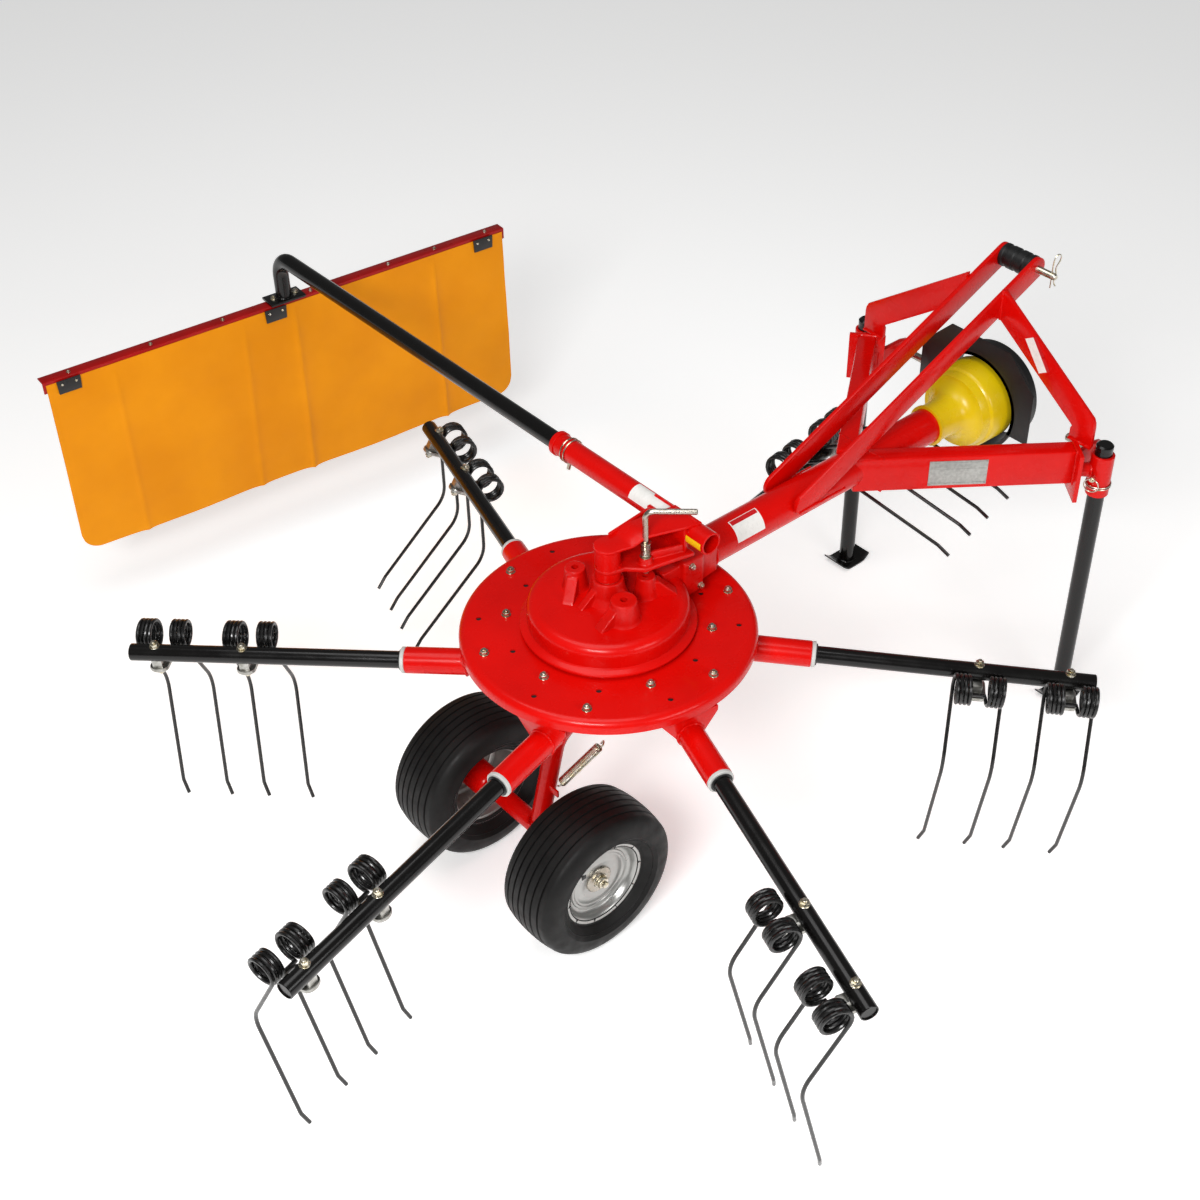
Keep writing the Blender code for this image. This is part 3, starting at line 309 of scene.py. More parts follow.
def hexToLinear(code):
    channels = [int(code[i : i + 2], 16) / 255 for i in (1, 3, 5)]
    return (*[c / 12.92 if c <= 0.04045 else ((c + 0.055) / 1.055) ** 2.4 for c in channels], 1)


def addNode(tree, kind, settings=None, links=None):
    node = tree.nodes.new(kind)
    for key, value in (settings or {}).items():
        if key in node.inputs:
            node.inputs[key].default_value = value
        else:
            setattr(node, key, value)
    for key, source in (links or {}).items():
        tree.links.new(source, node.inputs[key])
    return node


def perMetre(millimetres):
    # a noise scale whose features are this many millimetres across
    return 1000 / millimetres


def surface(name, look):
    # colour that drifts between two shades, uneven gloss and a fine raised grain
    material = bpy.data.materials.new(name)
    material.use_nodes = True
    tree = material.node_tree
    shader = tree.nodes["Principled BSDF"]
    place = addNode(tree, "ShaderNodeTexCoord").outputs["Object"]
    drift = addNode(
        tree, "ShaderNodeTexNoise", {"Scale": perMetre(look["driftMm"]), "Detail": 4.0}, {"Vector": place}
    )
    ramp = addNode(tree, "ShaderNodeValToRGB", links={"Fac": drift.outputs["Fac"]})
    ramp.color_ramp.elements[0].position = 0.35
    ramp.color_ramp.elements[1].position = 0.65
    ramp.color_ramp.elements[0].color = hexToLinear(look["colour"])
    ramp.color_ramp.elements[1].color = hexToLinear(look["shade"])
    tree.links.new(ramp.outputs["Color"], shader.inputs["Base Color"])
    low, high = look["roughness"]
    uneven = addNode(
        tree, "ShaderNodeTexNoise", {"Scale": perMetre(look["driftMm"] * 0.4),
                                     "Detail": 5.0}, {"Vector": place}
    )
    gloss = addNode(
        tree,
        "ShaderNodeMapRange",
        {"From Min": 0.3, "From Max": 0.7, "To Min": low, "To Max": high},
        {"Value": uneven.outputs["Fac"]},
    )
    tree.links.new(gloss.outputs["Result"], shader.inputs["Roughness"])
    grain = addNode(
        tree, "ShaderNodeTexNoise", {"Scale": perMetre(look["grainMm"]), "Detail": 3.0}, {"Vector": place}
    )
    bump = addNode(
        tree,
        "ShaderNodeBump",
        {"Strength": look["grainStrength"], "Distance": look["grainDepthMm"] / 1000},
        {"Height": grain.outputs["Fac"]},
    )
    tree.links.new(bump.outputs["Normal"], shader.inputs["Normal"])
    shader.inputs["Metallic"].default_value = look.get("metallic", 0.0)
    shader.inputs["IOR"].default_value = look.get("ior", 1.5)
    shader.inputs["Specular IOR Level"].default_value = look.get("specular", 0.5)
    shader.inputs["Coat Weight"].default_value = look.get("coat", 0.0)
    shader.inputs["Coat Roughness"].default_value = look.get("coatRoughness", 0.05)
    return material


# Two-pack enamel sprayed over steel: deep gloss with a slight orange peel
redEnamelLook = dict(colour="#d60803", shade="#cb0602", driftMm=160, roughness=(0.22, 0.32), grainMm=2.2,
                     grainStrength=0.12, grainDepthMm=0.25, coat=0.1, coatRoughness=0.05, specular=0.18)
# The same enamel over a sand casting, whose grain still shows
redCastLook = dict(colour="#d40c06", shade="#c30904", driftMm=60, roughness=(0.24, 0.38), grainMm=2.6,
                   grainStrength=0.55, grainDepthMm=0.7, coat=0.15, coatRoughness=0.1, specular=0.2)
# Thinner red enamel on hot-rolled angle, a darker shade
darkRedLook = dict(colour="#a80d0c", shade="#930a0a", driftMm=90, roughness=(0.25, 0.38), grainMm=1.6,
                   grainStrength=0.2, grainDepthMm=0.3, coat=0.1, coatRoughness=0.12, specular=0.2)
# Black stoving enamel on drawn tube
blackEnamelLook = dict(specular=0.3, colour="#090808", shade="#0d0c0b", driftMm=120, roughness=(0.16, 0.28),
                       grainMm=2.0,
                       grainStrength=0.12, grainDepthMm=0.2, coat=0.15, coatRoughness=0.06)
# Spring steel wire dipped in black lacquer
springLook = dict(colour="#080808", shade="#0e0d0d", driftMm=30, roughness=(0.22, 0.36), grainMm=0.9,
                  grainStrength=0.15, grainDepthMm=0.12, coat=0.15, coatRoughness=0.1)
# Bright zinc plate with a faint straw passivation
zincLook = dict(colour="#dad7ce", shade="#bdb191", driftMm=14, roughness=(0.18, 0.36), grainMm=0.7,
                grainStrength=0.2, grainDepthMm=0.08, metallic=1.0)
# Bare cast steel, shot-blasted and plated, so it glitters softly
castSilverLook = dict(colour="#bdbcb8", shade="#98968f", driftMm=12, roughness=(0.28, 0.5), grainMm=1.4,
                      grainStrength=0.6, grainDepthMm=0.35, metallic=1.0)
# Ground bright bar
brightSteelLook = dict(colour="#b9b3a8", shade="#a19a8d", driftMm=25, roughness=(0.2, 0.34), grainMm=0.6,
                       grainStrength=0.12, grainDepthMm=0.06, metallic=1.0)
# Tyre rubber: carbon-black, matt on the walls with a little bloom
rubberLook = dict(specular=0.22, colour="#100f0f", shade="#161514", driftMm=70, roughness=(0.42, 0.62),
                  grainMm=1.1,
                  grainStrength=0.3, grainDepthMm=0.2)
# Aluminium-flake lacquer on pressed steel
rimLook = dict(colour="#b4b4b1", shade="#a5a5a2", driftMm=90, roughness=(0.26, 0.36), grainMm=0.5,
               grainStrength=0.12, grainDepthMm=0.06, metallic=0.75)
# Moulded polyethylene, slightly waxy
yellowPlasticLook = dict(colour="#e2c60a", shade="#d8ba06", driftMm=140, roughness=(0.24, 0.34), grainMm=1.8,
                         grainStrength=0.08, grainDepthMm=0.2, ior=1.51)
# Moulded polypropylene with a spark-eroded grain
blackPlasticLook = dict(colour="#101011", shade="#171717", driftMm=80, roughness=(0.38, 0.5), grainMm=0.8,
                        grainStrength=0.3, grainDepthMm=0.12, ior=1.49)
# Acetal bearing ring, light grey
bushLook = dict(colour="#c9c9c6", shade="#bdbdb9", driftMm=20, roughness=(0.35, 0.45), grainMm=0.7,
                grainStrength=0.1, grainDepthMm=0.05, ior=1.48)
# Printed vinyl label, blank
whiteVinylLook = dict(colour="#eceae6", shade="#e4e2dd", driftMm=30, roughness=(0.25, 0.32), grainMm=1.5,
                      grainStrength=0.05, grainDepthMm=0.05)
redVinylLook = dict(colour="#c4161c", shade="#b91419", driftMm=30, roughness=(0.25, 0.32), grainMm=1.5,
                    grainStrength=0.05, grainDepthMm=0.05)
yellowVinylLook = dict(colour="#f0c514", shade="#e8bb0e", driftMm=30, roughness=(0.25, 0.32), grainMm=1.5,
                       grainStrength=0.05, grainDepthMm=0.05)
# Brushed and anodised aluminium sheet
plateLook = dict(colour="#b5b4b0", shade="#a09f9b", driftMm=8, roughness=(0.3, 0.4), grainMm=0.6,
                 grainStrength=0.25, grainDepthMm=0.06, metallic=1.0)

redEnamel = surface("redEnamel", redEnamelLook)
redCastEnamel = surface("redCastEnamel", redCastLook)
darkRedEnamel = surface("darkRedEnamel", darkRedLook)
blackEnamel = surface("blackEnamel", blackEnamelLook)
springLacquer = surface("blackSpringSteel", springLook)
zincPlate = surface("zincPlate", zincLook)
castSilver = surface("platedCastSteel", castSilverLook)
brightSteel = surface("groundSteel", brightSteelLook)
tyreRubber = surface("tyreRubber", rubberLook)
rimLacquer = surface("silverLacquer", rimLook)
yellowPlastic = surface("yellowPolyethylene", yellowPlasticLook)
blackPlastic = surface("blackPolypropylene", blackPlasticLook)
greyBush = surface("greyAcetal", bushLook)
whiteVinyl = surface("whiteVinyl", whiteVinylLook)
redVinyl = surface("redVinyl", redVinylLook)
yellowVinyl = surface("yellowVinyl", yellowVinylLook)
brushedPlate = surface("brushedAluminium", plateLook)

canvasLook = dict(colour="#e69004", shade="#dc8602", threadMm=1.6, weaveDepthMm=0.12,
                  roughness=0.42, driftMm=260)


def coatedCanvas():
    # PVC-coated polyester: a flat plain weave just shows through the glossy coat.
    # The real threads are 0.5 mm apart, drawn coarser so that they show
    material = surface("coatedCanvas", dict(
        colour=canvasLook["colour"], shade=canvasLook["shade"], driftMm=canvasLook["driftMm"],
        roughness=(canvasLook["roughness"] - 0.05, canvasLook["roughness"] + 0.06), grainMm=5.0,
        grainStrength=0.1, grainDepthMm=0.3, specular=0.12))
    tree = material.node_tree
    shader = tree.nodes["Principled BSDF"]
    place = addNode(tree, "ShaderNodeTexCoord").outputs["Object"]
    height = shader.inputs["Normal"].links[0].from_socket
    for axis in ("X", "Z"):
        threads = addNode(
            tree,
            "ShaderNodeTexWave",
            {"bands_direction": axis, "Scale": perMetre(canvasLook["threadMm"]) / (2 * math.pi) * 3.14,
             "Distortion": 0.2},
            {"Vector": place},
        )
        height = addNode(
            tree,
            "ShaderNodeBump",
            {"Strength": 0.25, "Distance": canvasLook["weaveDepthMm"] / 1000},
            {"Height": threads.outputs["Fac"], "Normal": height},
        ).outputs["Normal"]
    tree.links.new(height, shader.inputs["Normal"])
    return material


canvasCloth = coatedCanvas()
print("materials made")


# Fasteners

bolt = dict(across=0.0175, height=0.0072, washerRadius=0.0115, washer=0.002, stud=0.005)


def hexBolt(size=1.0):
    # a washer, a chamfered hexagon and the end of its stud, standing on z = 0
    radius = bolt["across"] / math.sqrt(3) * size
    base, top = bolt["washer"] * size, (bolt["washer"] + bolt["height"]) * size
    bm = bmesh.new()
    bmesh.ops.create_cone(bm, cap_ends=True, segments=6, radius1=radius, radius2=radius, depth=top - base)
    hexagon = shifted(rounded(fromBmesh(bm), 0.0007 * size), (0, 0, (base + top) / 2))
    washerRadius = bolt["washerRadius"] * size
    washer = rod((0, 0, 0), (0, 0, base), washerRadius, 0.0004, 24)
    stud = rod((0, 0, top - 0.001), (0, 0, top + bolt["stud"] * size), radius * 0.52, 0.0008, 16)
    return merged(hexagon, washer, stud)


def boltsAt(places, size=1.0):
    # places are (point, direction that the bolt stands up in)
    return copies(hexBolt(size), [along(p, Vector(p) + Vector(d)) for p, d in places])


# Rotor

rotor = dict(hubRadius=0.211, top=0.727, thickness=0.006, radius=0.35, rimRound=0.02, lip=0.034, bore=0.06,
             holeRadius=0.0065, outerRing=0.304, innerRing=0.2415, outerHole=3.7, outerBolt=27.75,
             innerHole=31.6, innerBolt=-0.25)
arm = dict(count=6, radius=0.021, wall=0.003, start=0.27, length=1.15, droop=math.radians(2.85),
           first=12.7, minimumRoll=-30.0, jointReach=0.4)


def polar(radius, degrees, height):
    a = math.radians(degrees)
    return Vector((radius * math.cos(a), radius * math.sin(a), height))


def rotorDisc():
    top, radius, bend, thick = rotor["top"], rotor["radius"], rotor["rimRound"], rotor["thickness"]
    centreR, centreZ = radius - bend, top - bend
    steps = [math.pi / 2 * i / 8 for i in range(9)]
    face = [(rotor["bore"], top), (rotor["hubRadius"], top), (centreR - 0.0005, top)]
    outer = [(centreR + bend * math.sin(a), centreZ + bend * math.cos(a)) for a in steps]
    inner = [(centreR + (bend - thick) * math.sin(a),
              centreZ + (bend - thick) * math.cos(a)) for a in steps[::-1]]
    low = top - rotor["lip"]
    edge = [(radius, low + 0.002), (radius - 0.002, low), (radius - thick + 0.001, low),
            (radius - thick, low + 0.001)]
    bore = [(rotor["bore"], top - thick), (rotor["bore"], top)]
    disc = lathe([*face, *outer, *edge, *inner, *bore], 144)
    holes = []
    for k in range(arm["count"]):
        azimuth = arm["first"] + 60 * k
        for ring, angle in ((rotor["outerRing"], rotor["outerHole"]),
                            (rotor["innerRing"], rotor["innerHole"])):
            foot = polar(ring, azimuth + angle, top - 0.02)
            holes.append(rod(foot, foot + Vector((0, 0, 0.04)), rotor["holeRadius"], 0.0005, 16))
    return cutAway(disc, merged(*holes))


def holeShadeDiscs():
    # black discs just under the plate's top close the empty holes: painted shade for the dark inside of each hole
    shadeDiscs = []
    for k in range(arm["count"]):
        azimuth = arm["first"] + 60 * k
        for ring, angle in ((rotor["outerRing"], rotor["outerHole"]),
                            (rotor["innerRing"], rotor["innerHole"])):
            foot = polar(ring, azimuth + angle, rotor["top"] - 0.0055)
            shadeDiscs.append(rod(foot, foot + Vector((0, 0, 0.0025)), rotor["holeRadius"] - 0.0002, 0.0002, 16))
    return merged(*shadeDiscs)


def rotorBolts():
    places = []
    for k in range(arm["count"]):
        azimuth = arm["first"] + 60 * k
        places.append((polar(rotor["outerRing"], azimuth + rotor["outerBolt"], rotor["top"]), (0, 0, 1)))
        places.append((polar(rotor["innerRing"], azimuth + rotor["innerBolt"], rotor["top"]), (0, 0, 1)))
    return boltsAt(places, 1.0)


housing = dict(lip=0.325, radius=0.032, bore=0.0225, start=0.21, end=0.483, gussets=(0.2, 0.285),
               sides=(-0.075, 0.085),
               plate=0.006, ringStart=0.4772, ringEnd=0.4868, ringRadius=0.0316, sealRadius=0.0262, sealEnd=0.4905)


def armMatrix(number, rolled=True):
    # the arm's own frame: X out along the arm, Y towards the side that the rotor turns away from
    joint = joints[f"arm_{number}_roll"]
    outward = -Vector(joint["axis"]).normalized()
    origin = Vector(joint["pos_m"]) - arm["jointReach"] * outward
    level = Vector((-outward.y, outward.x, 0)).normalized()
    up = outward.cross(level)
    basis = Matrix((outward, level, up)).transposed().to_4x4()
    roll = arm["minimumRoll"] - joint["range_deg"][0]
    spin = Matrix.Rotation(-math.radians(roll), 4, "X") if rolled else Matrix.Identity(4)
    return Matrix.Translation(origin) @ basis @ spin


def axisHeight(reach):
    return 0.585 + (arm["length"] - reach) * math.tan(arm["droop"])


def armHousing():
    low, high = housing["sides"]
    tube = rod((housing["start"], 0, 0), (housing["end"] - 0.006, 0, 0), housing["radius"], 0.0015, 48,
               housing["bore"])
    pieces = [tube]
    first, last = housing["gussets"]
    across = Matrix(((0, 0, 1, 0), (1, 0, 0, 0), (0, 1, 0, 0), (0, 0, 0, 1)))
    for reach, under in ((first, rotor["thickness"]), (last, rotor["thickness"]),
                         (housing["lip"], rotor["lip"])):
        top = rotor["top"] - under - 0.0008 - axisHeight(reach)
        high = housing["sides"][1] if reach < housing["lip"] else 0.066
        outline = [(low, top), (low, top - 0.014), (-0.029, -0.012), (0.029, -0.012), (high, top - 0.014),
                   (high, top)]
        gusset = flat(outline, housing["plate"])
        pieces.append(moved(gusset, Matrix.Translation((reach, 0, 0)) @ across))
        bead = circle((reach + 0.004, 0, 0), housing["radius"] + 0.0005, "X", 0, 2 * math.pi, 40)
        pieces.append(weldBead(bead, 0.003, reach))
    top = rotor["top"] - rotor["thickness"] - 0.0008 - axisHeight((first + last) / 2)
    base = block((last - first + housing["plate"], high - low, 0.006), (0, (low + high) / 2, -0.003))
    pieces.append(moved(base,
                        Matrix.Translation(((first + last) / 2, 0, top)) @ Matrix.Rotation(-arm["droop"], 4,
                                                                                           "Y")))
    return merged(*pieces)


tine = dict(wire=0.0095, coilRadius=0.038, coilLength=0.048, offset=0.07, pairs=(0.873, 1.088), spread=0.078,
            lean=math.radians(28), knee=math.radians(41.5), upper=0.2, lower=0.305, tip=0.04,
            tipBend=math.radians(14), kneeRadius=0.1, turns=4)


def tineLeg(reach):
    # centre line of a leg from the arm's side of its coil down to the tip
    lean, knee = tine["lean"], tine["lean"] - tine["knee"]
    upper = Vector((0, -math.sin(lean), -math.cos(lean)))
    lower = Vector((0, -math.sin(knee), -math.cos(knee)))
    mean = tine["coilRadius"] - tine["wire"] / 2
    root = Vector((reach, -tine["offset"] + mean * math.cos(lean), -mean * math.sin(lean)))
    bend = root + upper * tine["upper"]
    heel = bend + lower * tine["lower"]
    tipWay = lower * math.cos(tine["tipBend"]) + Vector((-math.sin(tine["tipBend"]), 0, 0))
    tip = heel + tipWay * tine["tip"]
    points = [root, *corner(root, bend, heel, tine["kneeRadius"], 12)]
    return points + corner(bend, heel, tip, 0.03, 5) + [tip]


def doubleTine(middle):
    mean = tine["coilRadius"] - tine["wire"] / 2
    travel = tine["coilLength"] - tine["wire"]
    bridgeAngle, whole = math.radians(-60), 2 * math.pi * tine["turns"]
    path = []
    for side in (-1, 1):
        centre = middle + side * tine["spread"] / 2
        start, end = centre - side * travel / 2, centre + side * travel / 2
        last = -tine["lean"] - whole
        coil = []
        count = tine["turns"] * 20
        for i in range(count + 1):
            share = i / count
            angle = bridgeAngle + (last - bridgeAngle) * share
            y = -tine["offset"] + mean * math.cos(angle)
            coil.append(Vector((start + (end - start) * share, y, mean * math.sin(angle))))
        half = coil + tineLeg(end)[1:]
        path = half[::-1] if side < 0 else path + half
    return bent(path, tine["wire"] / 2, 10)


clamp = dict(halfLength=0.023, thick=0.011, top=-0.0365, inner=-0.056, outer=0.02, neck=0.0125)


def armClamps():
    # a cast saddle under the arm for each double tine, with a rounded heel
    pieces = []
    for middle in tine["pairs"]:
        half, inner, outer = clamp["halfLength"], clamp["inner"], clamp["outer"]
        outline = []
        for i in range(9):
            a = -math.pi / 2 + math.pi * i / 8
            outline.append((half * math.sin(a), outer - half * 0.75 + half * 0.75 * math.cos(a)))
        outline += [(half, inner + 0.008), (half - 0.008, inner), (0.008 - half, inner),
                    (-half, inner + 0.008)]
        low = clamp["top"] - clamp["thick"]
        saddle = flat([(x + middle, y) for x, y in outline], clamp["thick"], 0.0025)
        pieces.append(shifted(saddle, (0, 0, (low + clamp["top"]) / 2)))
        neckTop = -arm["radius"] * 0.75
        size = (2 * clamp["neck"], 0.05, neckTop - clamp["top"] + 0.002)
        pieces.append(block(size, (middle, -0.011, (neckTop + clamp["top"]) / 2), 0, 0.002))
    return merged(*pieces)


def armBolts():
    places = []
    for middle in tine["pairs"]:
        places.append(((middle, 0, arm["radius"] - 0.0015), (0, 0, 1)))
        places.append(((middle, 0, clamp["top"] - clamp["thick"]), (0, 0, -1)))
    return boltsAt(places, 1.08)


def armTube():
    tube = rod((arm["start"], 0, 0), (arm["length"], 0, 0), arm["radius"], 0.0012, 48,
               arm["radius"] - arm["wall"])
    plug = rod((arm["length"] - 0.02, 0, 0), (arm["length"] - 0.003, 0, 0), arm["radius"] - arm["wall"],
               0.001, 32)
    return merged(tube, plug)


def makeRotor():
    addPiece(rotorDisc(), "rotorDisc", redEnamel, "rotor", "red_paint", ["rotor_plate"])
    # the black discs in the empty bolt holes are painted shade
    addPiece(holeShadeDiscs(), "holeShadeDiscs", blackPlastic, "rotor", "black_plastic")
    addPiece(rotorBolts(), "rotorBolts", zincPlate, "rotor", "bright_steel")
    for number in range(1, arm["count"] + 1):
        still, body = armMatrix(number, False), f"arm_{number}"
        addPiece(armHousing(), f"armHousing_{number}", redEnamel, "rotor", "red_paint",
                 [f"arm_housing_{number}"], still)
        ring = rod((housing["ringStart"], 0, 0), (housing["ringEnd"], 0, 0), housing["ringRadius"], 0.0015,
                   48,
                   arm["radius"] + 0.0004)
        addPiece(ring, f"housingRing_{number}", greyBush, "rotor", "black_plastic", (), still)
        turned = armMatrix(number)
        seal = rod((housing["ringEnd"] + 0.0003, 0, 0), (housing["sealEnd"], 0, 0), housing["sealRadius"],
                   0.0012, 48,
                   arm["radius"] + 0.0001)
        addPiece(seal, f"armSeal_{number}", blackPlastic, body, "black_plastic", (), turned)
        addPiece(armTube(), f"armTube_{number}", blackEnamel, body, "black_paint", [f"tine_arm_{number}"],
                 turned)
        addPiece(armClamps(), f"armClamps_{number}", castSilver, body, "bright_steel", (), turned)
        addPiece(armBolts(), f"armBolts_{number}", zincPlate, body, "bright_steel", (), turned)
        for label, middle in zip(("inner", "outer"), tine["pairs"]):
            replaced = [f"double_tine_{number}_{label}"]
            addPiece(doubleTine(middle), f"tines_{number}_{label}", springLacquer, body, "spring_steel",
                     replaced, turned)


makeRotor()
print("rotor and arms made")


# Gearbox and the cases below it

gearbox = dict(radius=0.19, flange=0.207, bottom=0.734, top=0.802, round=0.024, firstBoss=-34,
               bosses=((-34, -34, 0.022), (38, 38, 0.022), (110, 215, 0.024), (254, 175, 0.03)),
               bossRing=0.087, bossTop=0.857, holeRadius=0.0085, neckStart=0.13, neckEnd=0.2997,
               pad=(0.177, 0.242),
               neckHalf=0.066, neckTop=0.8425, neckBottom=0.739)


def gearboxDrum():
    radius, top, bend = gearbox["radius"], gearbox["top"], gearbox["round"]
    steps = [math.pi / 2 * i / 8 for i in range(9)]
    profile = [(0, top), (0.04, top), (radius - bend - 0.0005, top)]
    profile += [(radius - bend + bend * math.sin(a), top - bend + bend * math.cos(a)) for a in steps]
    step, flange, bottom = gearbox["bottom"] + 0.01, gearbox["flange"], gearbox["bottom"]
    profile += [(radius, step + 0.004), (radius + 0.004, step), (flange - 0.003, step - 0.002),
                (flange, step - 0.005)]
    profile += [(flange, bottom + 0.001), (flange - 0.001, bottom), (0.052, bottom), (0, bottom)]
    return lathe(profile, 128)


def gearboxBosses():
    # the pin bosses with their tapered ribs, and the neck that carries the drawbar
    pieces, top = [], gearbox["top"]
    upright = Matrix.Rotation(math.pi / 2, 4, "X")
    for azimuth, ribWay, radius in gearbox["bosses"]:
        foot = polar(gearbox["bossRing"], azimuth, top - 0.008)
        rise = gearbox["bossTop"] - top + 0.008
        profile = [(0, 0), (radius * 1.5, 0), (radius * 1.25, 0.014), (radius, rise), (0, rise)]
        pieces.append(shifted(lathe(profile, 40), foot))
        rib = [(0, 0), (0.08, 0), (0.07, 0.012), (0.03, 0.05), (0, 0.05)]
        turn = Matrix.Translation(foot) @ Matrix.Rotation(math.radians(ribWay), 4, "Z")
        pieces.append(moved(flat(rib, 0.028, 0.001), turn @ upright))
    # the tapered column that the curtain arm turns on, with its webs
    column = [(0, top - 0.01), (0.056, top - 0.01), (0.042, top + 0.02), (0.036, 0.8605), (0, 0.8605)]
    pieces.append(lathe(column, 56))
    for azimuth in (20, 172, 282):
        rib = [(0, 0), (0.088, 0), (0.072, 0.014), (0.034, 0.05), (0, 0.05)]
        turn = Matrix.Translation((0, 0, top - 0.008)) @ Matrix.Rotation(math.radians(azimuth), 4, "Z")
        pieces.append(moved(flat(rib, 0.02, 0.001), turn @ upright))
    # the neck is a thick pad that the drawbar's narrower foot runs into
    low, high, (padStart, padEnd) = gearbox["neckBottom"], gearbox["neckTop"], gearbox["pad"]
    pad = ((padStart + padEnd) / 2, 0, (low + high) / 2)
    pieces.append(block((padEnd - padStart, 2 * gearbox["neckHalf"], high - low), pad, 0, 0.006))
    inner = block((padStart - gearbox["neckStart"] + 0.01, 0.1, 0.09),
                  ((padStart + gearbox["neckStart"]) / 2, 0, low + 0.045))
    outline = [(padEnd - 0.01, low + 0.006), (gearbox["neckEnd"], low + 0.014),
               (gearbox["neckEnd"], high - 0.006)]
    foot = flat([*outline, (padEnd - 0.01, high - 0.004)], 0.098, 0.003)
    pieces += [inner, moved(foot, upright)]
    body = cast(merged(*pieces), 0.0018, 8)
    holes = []
    for azimuth, *_ in gearbox["bosses"]:
        foot = polar(gearbox["bossRing"], azimuth, gearbox["bossTop"] - 0.035)
        holes.append(rod(foot, foot + Vector((0, 0, 0.05)), gearbox["holeRadius"], 0.0005, 20))
    return cutAway(body, merged(*holes))


def neckBolts():
    places = []
    for side in (-1, 1):
        for forward, height in ((0.2, 0.825), (0.229, 0.755)):
            places.append(((forward, side * gearbox["neckHalf"], height), (0, side, 0)))
    return boltsAt(places, 0.8)


lowerCase = dict(radius=0.19, top=0.709, bottom=0.575, sleeve=0.052, kingRadius=0.03, barrelLow=0.45,
                 barrelHigh=0.55, kingEnd=0.43)


def camCase():
    case = lowerCase
    profile = [(0, gearbox["bottom"] - 0.0005), (case["sleeve"], gearbox["bottom"] - 0.0005),
               (case["sleeve"], case["top"])]
    profile += [(case["radius"] - 0.012, case["top"]), (case["radius"], case["top"] - 0.012)]
    profile += [(case["radius"], case["bottom"] + 0.02), (case["radius"] - 0.006, case["bottom"] + 0.006)]
    profile += [(case["radius"] - 0.02, case["bottom"]), (0.09, case["bottom"]),
                (0.085, case["bottom"] - 0.001)]
    profile += [(0.055, case["bottom"] - 0.001), (0.055, case["barrelHigh"] + 0.014),
                (0.048, case["barrelHigh"] + 0.006)]
    profile += [(case["kingRadius"], case["barrelHigh"] + 0.006),
                (case["kingRadius"], case["barrelLow"] - 0.006)]
    profile += [(0.036, case["barrelLow"] - 0.006), (0.036, case["kingEnd"] + 0.003),
                (0.033, case["kingEnd"])]
    return lathe(profile + [(0, case["kingEnd"])], 72)


def makeGearbox():
    addPiece(gearboxDrum(), "gearboxDrum", redEnamel, "root", "red_paint", ["gearbox_housing"])
    addPiece(gearboxBosses(), "gearboxBosses", redCastEnamel, "root", "red_paint", (), home, 60)
    addPiece(neckBolts(), "neckBolts", zincPlate, "root", "bright_steel")
    case = camCase()
    lugHigh = lowerCase["bottom"] + 0.02
    lug = block((0.006, 0.022, 0.07), (spring["top"][0], spring["top"][1], lugHigh - 0.035), math.radians(45),
                0.002)
    addPiece(merged(case, lug), "camCaseCasting", redEnamel, "root", "red_paint", ["cam_case", "king_post"])
    rimBolts = [(polar(0.17, 30 + 60 * i, lowerCase["bottom"]), (0, 0, -1)) for i in range(6)]
    addPiece(boltsAt(rimBolts, 0.7), "camCaseBolts", zincPlate, "root", "bright_steel")


# Wheels

spring = dict(top=(-0.118, -0.118, 0.5), foot=(-0.203, -0.041, 0.352), radius=0.0105, wire=0.0017, turns=36)
wheel = dict(radius=0.2025, width=0.18, rim=0.115, rimWidth=0.13, grooves=6, grooveDepth=0.0042,
             grooveWidth=0.0042, slots=10, discFace=0.0405)
bogie = dict(back=0.235, beam=0.142, axle=0.26, axleRadius=0.0125, beamRadius=0.024, barrelRadius=0.042,
             tube=0.024)


def tyreProfile():
    # half the section from the crown's middle to the bead, mirrored by the caller
    radius, half = wheel["radius"], wheel["width"] / 2
    crownHalf, points = half * 0.72, []
    pitch = 2 * crownHalf / wheel["grooves"]
    centres = [-crownHalf + pitch * (i + 0.5) for i in range(wheel["grooves"])]

    def crown(y):
        return radius - 0.0065 * (abs(y) / crownHalf) ** 2.4

    points.append((crown(-crownHalf), -crownHalf))
    for y in centres:
        wide, deep = wheel["grooveWidth"] / 2, wheel["grooveDepth"]
        for offset, drop in ((-wide - 0.0008, 0), (-wide + 0.0006, deep), (wide - 0.0006, deep),
                             (wide + 0.0008, 0)):
            points.append((crown(y + offset) - drop, y + offset))
    points.append((crown(crownHalf), crownHalf))
    wall = []
    for i in range(1, 15):
        a = math.pi / 2 * i / 14
        wall.append((radius - 0.0065 - 0.045 * (1 - math.cos(a)),
                     crownHalf + (half - crownHalf) * math.sin(a)))
    rimEdge = wheel["rim"] + 0.006
    wall += [(radius - 0.055, half + 0.0006), (radius - 0.057, half + 0.0006), (radius - 0.059, half - 0.001)]
    wall += [(rimEdge + 0.016, half - 0.007), (rimEdge + 0.013, half - 0.006),
             (rimEdge + 0.011, half - 0.009)]
    wall += [(rimEdge, half - 0.018), (rimEdge - 0.004, half - 0.024), (wheel["rim"] - 0.011, half - 0.028)]
    return points, wall


def tyre():
    points, wall = tyreProfile()
    left = [(r, -y) for r, y in wall[::-1]]
    return lathe(left + points + wall + [left[0]], 120, "Y")


